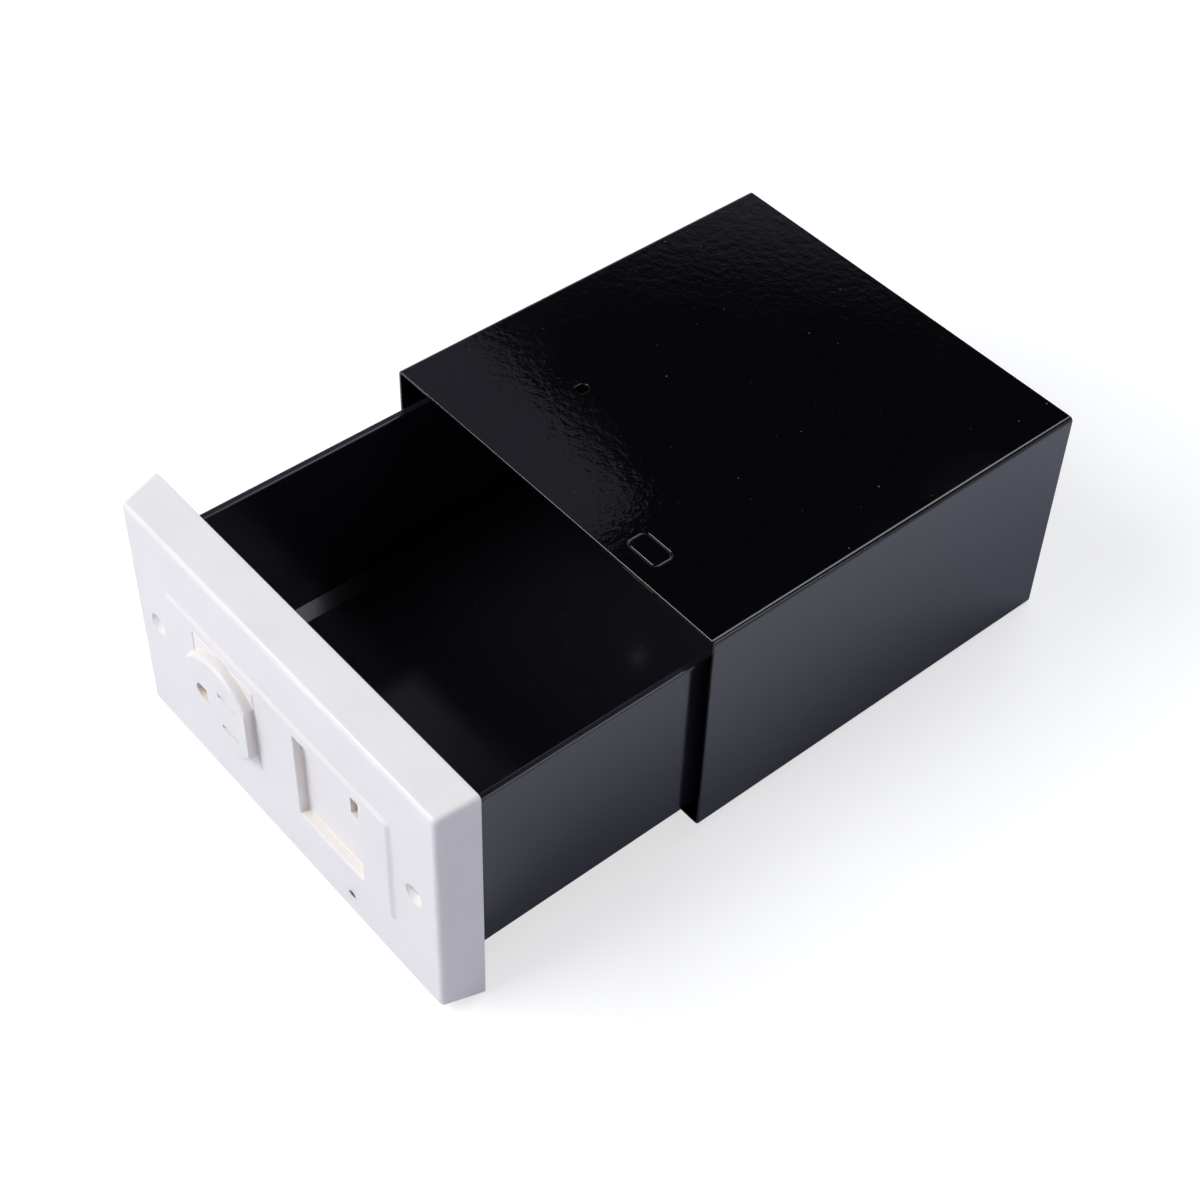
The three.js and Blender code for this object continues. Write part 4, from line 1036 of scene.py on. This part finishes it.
def cam_lever():
    """The lever that rises behind the keeper when the key turns."""
    low, high = span("lock_cam")
    tip = block(
        CAM_TIP_WIDTH, CAM_TIP_HEIGHT, low.y, high.y, LOCK_X, low.z + CAM_TIP_HEIGHT / 2,
        CAM_TIP_CORNER, steps=6,
    )
    bm = joined(peg(CAM_HUB, low.y, high.y, LOCK_X, LOCK_Z, ROUND_STEPS), tip)
    bmesh.ops.delete(bm, geom=[*bm.edges, *bm.faces], context="EDGES_FACES")
    bmesh.ops.convex_hull(bm, input=bm.verts)
    inner = [vert for vert in bm.verts if not vert.link_faces]
    bmesh.ops.delete(bm, geom=inner, context="VERTS")
    bm = cut(plain(bm), square_hole(low.y, high.y))
    soften(bm, EDGE_BREAK)
    return finished("cam_lever", bm, "lock_cam")


def cam_washer():
    ring = disc_with_hole("cam_lock_washer", CAM_SCREW_BORE)
    return finished("cam_washer", ring, "cam_lock_washer")


# Finishes, as node groups that several of them share

def feed(tree, node, inputs):
    """Links the inputs that are given as sockets, and sets the others."""
    for name, value in inputs.items():
        if isinstance(value, bpy.types.NodeSocket):
            tree.links.new(value, node.inputs[name])
        else:
            node.inputs[name].default_value = value


def place(tree, kind, inputs=None, **settings):
    """Adds a node with its inputs and settings."""
    node = tree.nodes.new("ShaderNode" + kind)
    for name, value in settings.items():
        setattr(node, name, value)
    feed(tree, node, inputs or {})
    return node


def math_node(tree, operation, first, second):
    return place(tree, "Math", {0: first, 1: second}, operation=operation).outputs[0]


def stretch(tree, value, low, high, to_low=0.0, to_high=1.0):
    """A value moved from one range to another, and held inside it."""
    return place(
        tree, "MapRange",
        {"Value": value, "From Min": low, "From Max": high, "To Min": to_low, "To Max": to_high},
    ).outputs[0]


def effect(name, inputs, outputs):
    """An empty node group with named inputs and outputs."""
    group = bpy.data.node_groups.new(name, "ShaderNodeTree")
    for label, value in inputs.items():
        socket = group.interface.new_socket(label, in_out="INPUT", socket_type="NodeSocketFloat")
        socket.default_value = value
    for label in outputs:
        group.interface.new_socket(label, in_out="OUTPUT", socket_type="NodeSocketFloat")
    entry = group.nodes.new("NodeGroupInput")
    end = group.nodes.new("NodeGroupOutput")
    return group, entry.outputs, end.inputs


def places_on(group):
    """Where a point lies on the piece, in millimetres."""
    here = place(group, "TexCoord").outputs["Object"]
    scaled = place(group, "VectorMath", {0: here, "Scale": 1 / MM}, operation="SCALE")
    return scaled.outputs["Vector"]


def noise(group, places, density, **inputs):
    """Soft random values, with so many cells to a millimetre."""
    values = {label.title(): value for label, value in inputs.items()}
    return place(group, "TexNoise", {"Vector": places, "Scale": density, **values}).outputs[0]


def orange_peel():
    """The gentle ripples of sprayed paint: broad cells with finer ones on them."""
    group, given, made = effect("orange_peel", {"Cell": 3.0, "Fine Share": 0.3}, ["Height"])
    places = places_on(group)
    density = math_node(group, "DIVIDE", 1.0, given["Cell"])
    broad = noise(group, places, density, detail=1.0)
    fine_density = math_node(group, "MULTIPLY", density, FINE_RIPPLES)
    fine = noise(group, places, fine_density, detail=1.0)
    share = math_node(group, "MULTIPLY", fine, given["Fine Share"])
    group.links.new(math_node(group, "ADD", broad, share), made["Height"])
    return group


def dust():
    """Specks of dust: small soft dots of random size, one to a cell."""
    group, given, made = effect("dust", {"Spacing": 7.0, "Largest": 0.5}, ["Mask"])
    density = math_node(group, "DIVIDE", 1.0, given["Spacing"])
    cells = place(
        group, "TexVoronoi", {"Vector": places_on(group), "Scale": density, "Randomness": 1.0}
    ).outputs
    away = math_node(group, "MULTIPLY", cells["Distance"], given["Spacing"])
    chance = place(group, "SeparateColor", {"Color": cells["Color"]}).outputs["Red"]
    size = math_node(group, "POWER", chance, DUST_RARITY)
    radius = math_node(group, "MULTIPLY", size, given["Largest"])
    speck = place(
        group, "MapRange",
        {"Value": away, "From Min": 0.0, "From Max": radius, "To Min": 1.0, "To Max": 0.0},
        interpolation_type="SMOOTHSTEP",
    )
    group.links.new(speck.outputs[0], made["Mask"])
    return group


def cloud():
    """Slow changes over the surface, from handling or from how a moulding cooled."""
    group, given, made = effect("cloud", {"Cell": 30.0}, ["Value"])
    density = math_node(group, "DIVIDE", 1.0, given["Cell"])
    drift = noise(group, places_on(group), density, detail=3.0, distortion=0.6)
    group.links.new(drift, made["Value"])
    return group


def machining():
    """Fine lines round a turned or ground metal piece, broken up by small scratches."""
    group, given, made = effect("machining", {"Line": 0.25}, ["Height", "Value"])
    places = places_on(group)
    stretched = place(
        group, "VectorMath", {0: places, 1: (LINE_STRETCH, 1.0, 1.0)}, operation="MULTIPLY"
    ).outputs["Vector"]
    density = math_node(group, "DIVIDE", 1.0, given["Line"])
    group.links.new(noise(group, stretched, density, detail=2.0), made["Height"])
    group.links.new(noise(group, places, STAIN_DENSITY, detail=3.0), made["Value"])
    return group


def edge_wear():
    """Rubbed edges: where the surface turns sharply, broken up into patches."""
    group, given, made = effect("edge_wear", {"Width": 0.5}, ["Mask"])
    reach = math_node(group, "MULTIPLY", given["Width"], MM)
    eased = place(group, "Bevel", {"Radius": reach}, samples=4).outputs["Normal"]
    straight = place(group, "NewGeometry").outputs["Normal"]
    agreement = place(group, "VectorMath", {0: eased, 1: straight}, operation="DOT_PRODUCT")
    turning = stretch(group, agreement.outputs["Value"], 0.98, 0.8)
    patches = noise(group, places_on(group), PATCH_DENSITY, detail=3.0)
    rubbed = stretch(group, patches, 0.42, 0.62)
    group.links.new(math_node(group, "MULTIPLY", turning, rubbed), made["Mask"])
    return group


def painted_recess_shade():
    """Painted shade: recesses and inside corners, from 0 in the open to 1 deep inside."""
    group, given, made = effect("painted_recess_shade", {"Reach": 6.0}, ["Mask"])
    reach = math_node(group, "MULTIPLY", given["Reach"], MM)
    openness = place(group, "AmbientOcclusion", {"Distance": reach}, samples=6).outputs["AO"]
    group.links.new(stretch(group, openness, 0.95, 0.35), made["Mask"])
    return group


EFFECTS = {
    made.name: made
    for made in (orange_peel(), dust(), cloud(), machining(), edge_wear(), painted_recess_shade())
}


def use(tree, name, **values):
    """Places a shared effect with its own values and gives its outputs."""
    node = tree.nodes.new("ShaderNodeGroup")
    node.node_tree = EFFECTS[name]
    for label, value in values.items():
        node.inputs[label.replace("_", " ")].default_value = value
    return node.outputs


def ramp(tree, value, *stops):
    """Colours for the values between the stops, each a position with its colour."""
    node = place(tree, "ValToRGB", {"Fac": value})
    elements = node.color_ramp.elements
    for _ in stops[2:]:
        elements.new(1)
    for element, (position, colour) in zip(elements, stops):
        element.position = position
        element.color = (*colour, 1)
    return node.outputs["Color"]


def finish(name):
    """A new material with its tree and its shader."""
    made = bpy.data.materials.new(name)
    made.use_nodes = True
    return made, made.node_tree, made.node_tree.nodes["Principled BSDF"]


def bumped(tree, height, depth):
    """The normal of ripples this deep, in millimetres."""
    bump = place(tree, "Bump", {"Height": height, "Distance": depth * MM, "Strength": 1.0})
    return bump.outputs["Normal"]


def gloss_black(name, colour, dusty, rough, peel_cell, peel_depth, ior):
    """Gloss black, with smears, rubbed edges, a few specks of dust and gentle ripples."""
    made, tree, shader = finish(name)
    specks = use(tree, "dust", Spacing=3.0, Largest=0.45)["Mask"]
    rubbed = math_node(tree, "MULTIPLY", use(tree, "edge_wear", Width=0.5)["Mask"], PAINT_WEAR)
    marks = math_node(tree, "MAXIMUM", specks, rubbed)
    smears = use(tree, "cloud", Cell=34.0)["Value"]
    smooth = stretch(tree, smears, 0.35, 0.7, *rough)
    rougher = math_node(tree, "MULTIPLY", marks, MARK_ROUGHNESS)
    ripples = use(tree, "orange_peel", Cell=peel_cell, Fine_Share=0.25)["Height"]
    feed(tree, shader, {
        "Base Color": ramp(tree, marks, (0, colour), (1, dusty)),
        "Roughness": math_node(tree, "MAXIMUM", smooth, rougher),
        "IOR": ior,
        "Normal": bumped(tree, ripples, peel_depth),
    })
    return made


def sleeve_paint():
    return gloss_black(
        "sleeve_paint", colour=(0.0018, 0.0018, 0.0024), dusty=(0.09, 0.09, 0.1),
        rough=(0.04, 0.08), peel_cell=2.4, peel_depth=0.024, ior=1.65,
    )


def tray_plastic():
    return gloss_black(
        "tray_plastic", colour=(0.011, 0.011, 0.016), dusty=(0.06, 0.06, 0.07),
        rough=(0.12, 0.18), peel_cell=5.0, peel_depth=0.01, ior=1.62,
    )


def plate_plastic():
    """White moulded plastic: soft gloss, slow flow marks, and a warm painted shade in its recesses."""
    made, tree, shader = finish("plate_plastic")
    flow = use(tree, "cloud", Cell=26.0)["Value"]
    open_colour = ramp(tree, flow, (0.3, (0.84, 0.82, 0.815)), (0.7, (0.865, 0.845, 0.84)))
    # painted shade: a warm tint in recesses and inside corners, standing in for the light bounced there
    inside = use(tree, "painted_recess_shade", Reach=6.0)["Mask"]
    colour = place(
        tree, "MixRGB", {"Fac": inside, "Color1": open_colour, "Color2": (0.88, 0.825, 0.78, 1)}
    )
    grain = use(tree, "orange_peel", Cell=0.9, Fine_Share=0.5)["Height"]
    feed(tree, shader, {
        "Base Color": colour.outputs["Color"],
        "Roughness": stretch(tree, flow, 0.3, 0.7, 0.3, 0.42),
        "IOR": 1.49,
        "Subsurface Weight": 0.5,
        "Subsurface Radius": (1, 0.88, 0.82),
        "Subsurface Scale": 1.4 * MM,
        "Normal": bumped(tree, grain, depth=0.004),
    })
    return made


def metal(name, dull, bright, rough, line, depth=0.01):
    """Bare or plated metal with fine lines, and brighter and smoother where it is rubbed."""
    made, tree, shader = finish(name)
    marks = use(tree, "machining", Line=line)
    rubbed = math_node(tree, "MULTIPLY", use(tree, "edge_wear", Width=0.3)["Mask"], METAL_WEAR)
    shine = math_node(tree, "ADD", marks["Value"], rubbed)
    feed(tree, shader, {
        "Base Color": ramp(tree, shine, (0.3, dull), (0.7, bright)),
        "Metallic": 1.0,
        "Roughness": stretch(tree, shine, 0.3, 0.7, *rough),
        "Normal": bumped(tree, marks["Height"], depth),
    })
    return made


def brass():
    return metal("brass", (0.55, 0.33, 0.13), (0.78, 0.50, 0.22), rough=(0.4, 0.24), line=0.2)


def lock_plating():
    return metal("lock_plating", (0.5, 0.51, 0.53), (0.66, 0.67, 0.69), rough=(0.4, 0.22), line=0.5)


def steel():
    return metal("steel", (0.42, 0.43, 0.46), (0.6, 0.61, 0.62), rough=(0.42, 0.25), line=0.3)


FINISHES = {
    maker.__name__: maker()
    for maker in (sleeve_paint, tray_plastic, plate_plastic, lock_plating, brass, steel)
}


# Studio

def photo_camera():
    """The camera, at the photograph's place and angle."""
    azimuth, elevation, roll = map(math.radians, (VIEW_AZIMUTH, VIEW_ELEVATION, VIEW_ROLL))
    ahead = Vector((
        -math.sin(azimuth) * math.cos(elevation),
        math.cos(azimuth) * math.cos(elevation),
        -math.sin(elevation),
    ))
    level = Vector((math.cos(azimuth), math.sin(azimuth), 0))
    upright = level.cross(ahead)
    right = level * math.cos(roll) + upright * math.sin(roll)
    up = upright * math.cos(roll) - level * math.sin(roll)
    lens = bpy.data.cameras.new("camera")
    lens.sensor_width = SENSOR_WIDTH
    lens.lens = FOCAL_PIXELS / IMAGE_PIXELS * SENSOR_WIDTH
    camera = bpy.data.objects.new("camera", lens)
    turn = Matrix((right, up, -ahead)).transposed().to_4x4()
    stand = (Vector(VIEW_AIM) - ahead * VIEW_DISTANCE) * MM
    camera.matrix_world = Matrix.Translation(stand) @ turn
    bpy.context.scene.collection.objects.link(camera)
    bpy.context.scene.camera = camera


def table_top():
    """A pale floor under the plate's lower rim and the sleeve's rear edge, on which the safe stands."""
    bm = bmesh.new()
    bmesh.ops.create_grid(bm, x_segments=1, y_segments=1, size=FLOOR_SIZE)
    slope = math.atan((SLEEVE_LOW.z - PLATE_LOW.z) / (SLEEVE_HIGH.y - PLATE_RIM))
    rotate(bm, slope, "X")
    move(bm, Vector((0, PLATE_RIM, PLATE_LOW.z - FLOOR_GAP)) * MM)
    mesh = bpy.data.meshes.new("table_top")
    bm.to_mesh(mesh)
    bm.free()
    floor = bpy.data.objects.new("table_top", mesh)
    bpy.context.scene.collection.objects.link(floor)
    mesh.materials.append(floor_paper())


def floor_paper():
    """White paper, lifted to full white for the camera where no shadow falls."""
    made, tree, shader = finish("floor_paper")
    path = place(tree, "LightPath").outputs
    seen = path["Is Camera Ray"]
    kind = math_node(tree, "ADD", seen, math_node(tree, "MULTIPLY", path["Is Glossy Ray"], 0.5))
    colour = ramp(
        tree, kind, (0, (0.64, 0.64, 0.68)), (0.5, (0.86, 0.87, 1)), (1, (0.48, 0.48, 0.48))
    )
    feed(tree, shader, {
        "Base Color": colour,
        "Roughness": 0.9,
        "Specular IOR Level": 0.0,
        "Emission Color": (1, 1, 1, 1),
        "Emission Strength": math_node(tree, "MULTIPLY", seen, FLOOR_LIFT),
    })
    return made


def softbox(name, towards, distance, size, power, colour, roll=0):
    """A square lamp, some metres away from the safe's middle and facing it."""
    lamp = bpy.data.lights.new(name, "AREA")
    lamp.size = size
    lamp.energy = power
    lamp.color = colour
    made = bpy.data.objects.new(name, lamp)
    way = Vector(towards).normalized()
    made.location = LIGHT_AIM * MM + way * distance
    facing = way.to_track_quat("Z", "Y").to_matrix()
    made.rotation_euler = (facing @ Matrix.Rotation(math.radians(roll), 3, "Z")).to_euler()
    bpy.context.scene.collection.objects.link(made)


def room():
    """A pale backdrop all round up to eye level, and a dark ceiling; the camera sees white."""
    world = bpy.data.worlds.new("room")
    bpy.context.scene.world = world
    world.use_nodes = True
    tree = world.node_tree
    way = place(tree, "TexCoord").outputs["Generated"]
    height = place(tree, "SeparateXYZ", {"Vector": way}).outputs["Z"]
    glow = stretch(tree, height, BACKDROP_TOP, CEILING_FOOT, BACKDROP_GLOW, CEILING_GLOW)
    seen = place(tree, "LightPath").outputs["Is Camera Ray"]
    feed(tree, tree.nodes["Background"], {
        "Color": ramp(tree, seen, (0, (0.815, 0.83, 1)), (1, (1, 1, 1))),
        "Strength": math_node(tree, "MAXIMUM", glow, seen),
    })


def studio():
    bpy.context.scene.view_settings.view_transform = "Standard"
    photo_camera()
    table_top()
    room()
    softbox("key", (-0.33, -0.66, 0.67), 2.5, size=1.6, power=54, colour=(0.975, 0.98, 0.975))
    softbox("top_panel", (-0.1, 0.5, 0.86), 2, size=1, power=9.8, colour=(0.88, 0.93, 1))
    softbox(
        "left_panel", (-0.63, 0.33, 0.70), 2.25, size=0.63, power=0.29, colour=(0.78, 0.76, 1),
        roll=36,
    )
    softbox("right_panel", (0.74, 0.33, 0.59), 2, size=0.9, power=3.4, colour=(0.85, 0.85, 1))


studio()
sleeve_shell()
rear_pan()
keeper_bracket()
drawer_shell()
plate_moulding()
socket_face()
screw("insert_fixing_screw", "insert_screw", -1, 1.5, 2.4, slotted=True)
for number, node in enumerate(PLATE_SCREWS, 1):
    screw(f"tray_screw_{number}", node, 1, 2.3, 3)
lock_barrel()
spur_ring()
hexagon_nut()
key_plug()
for number in range(1, WAFER_COUNT + 1):
    tumbler(number)
turn_limit_washer()
cam_lever()
cam_washer()
screw("cam_fixing_screw", "cam_screw", 1, 2.6, 3.4)
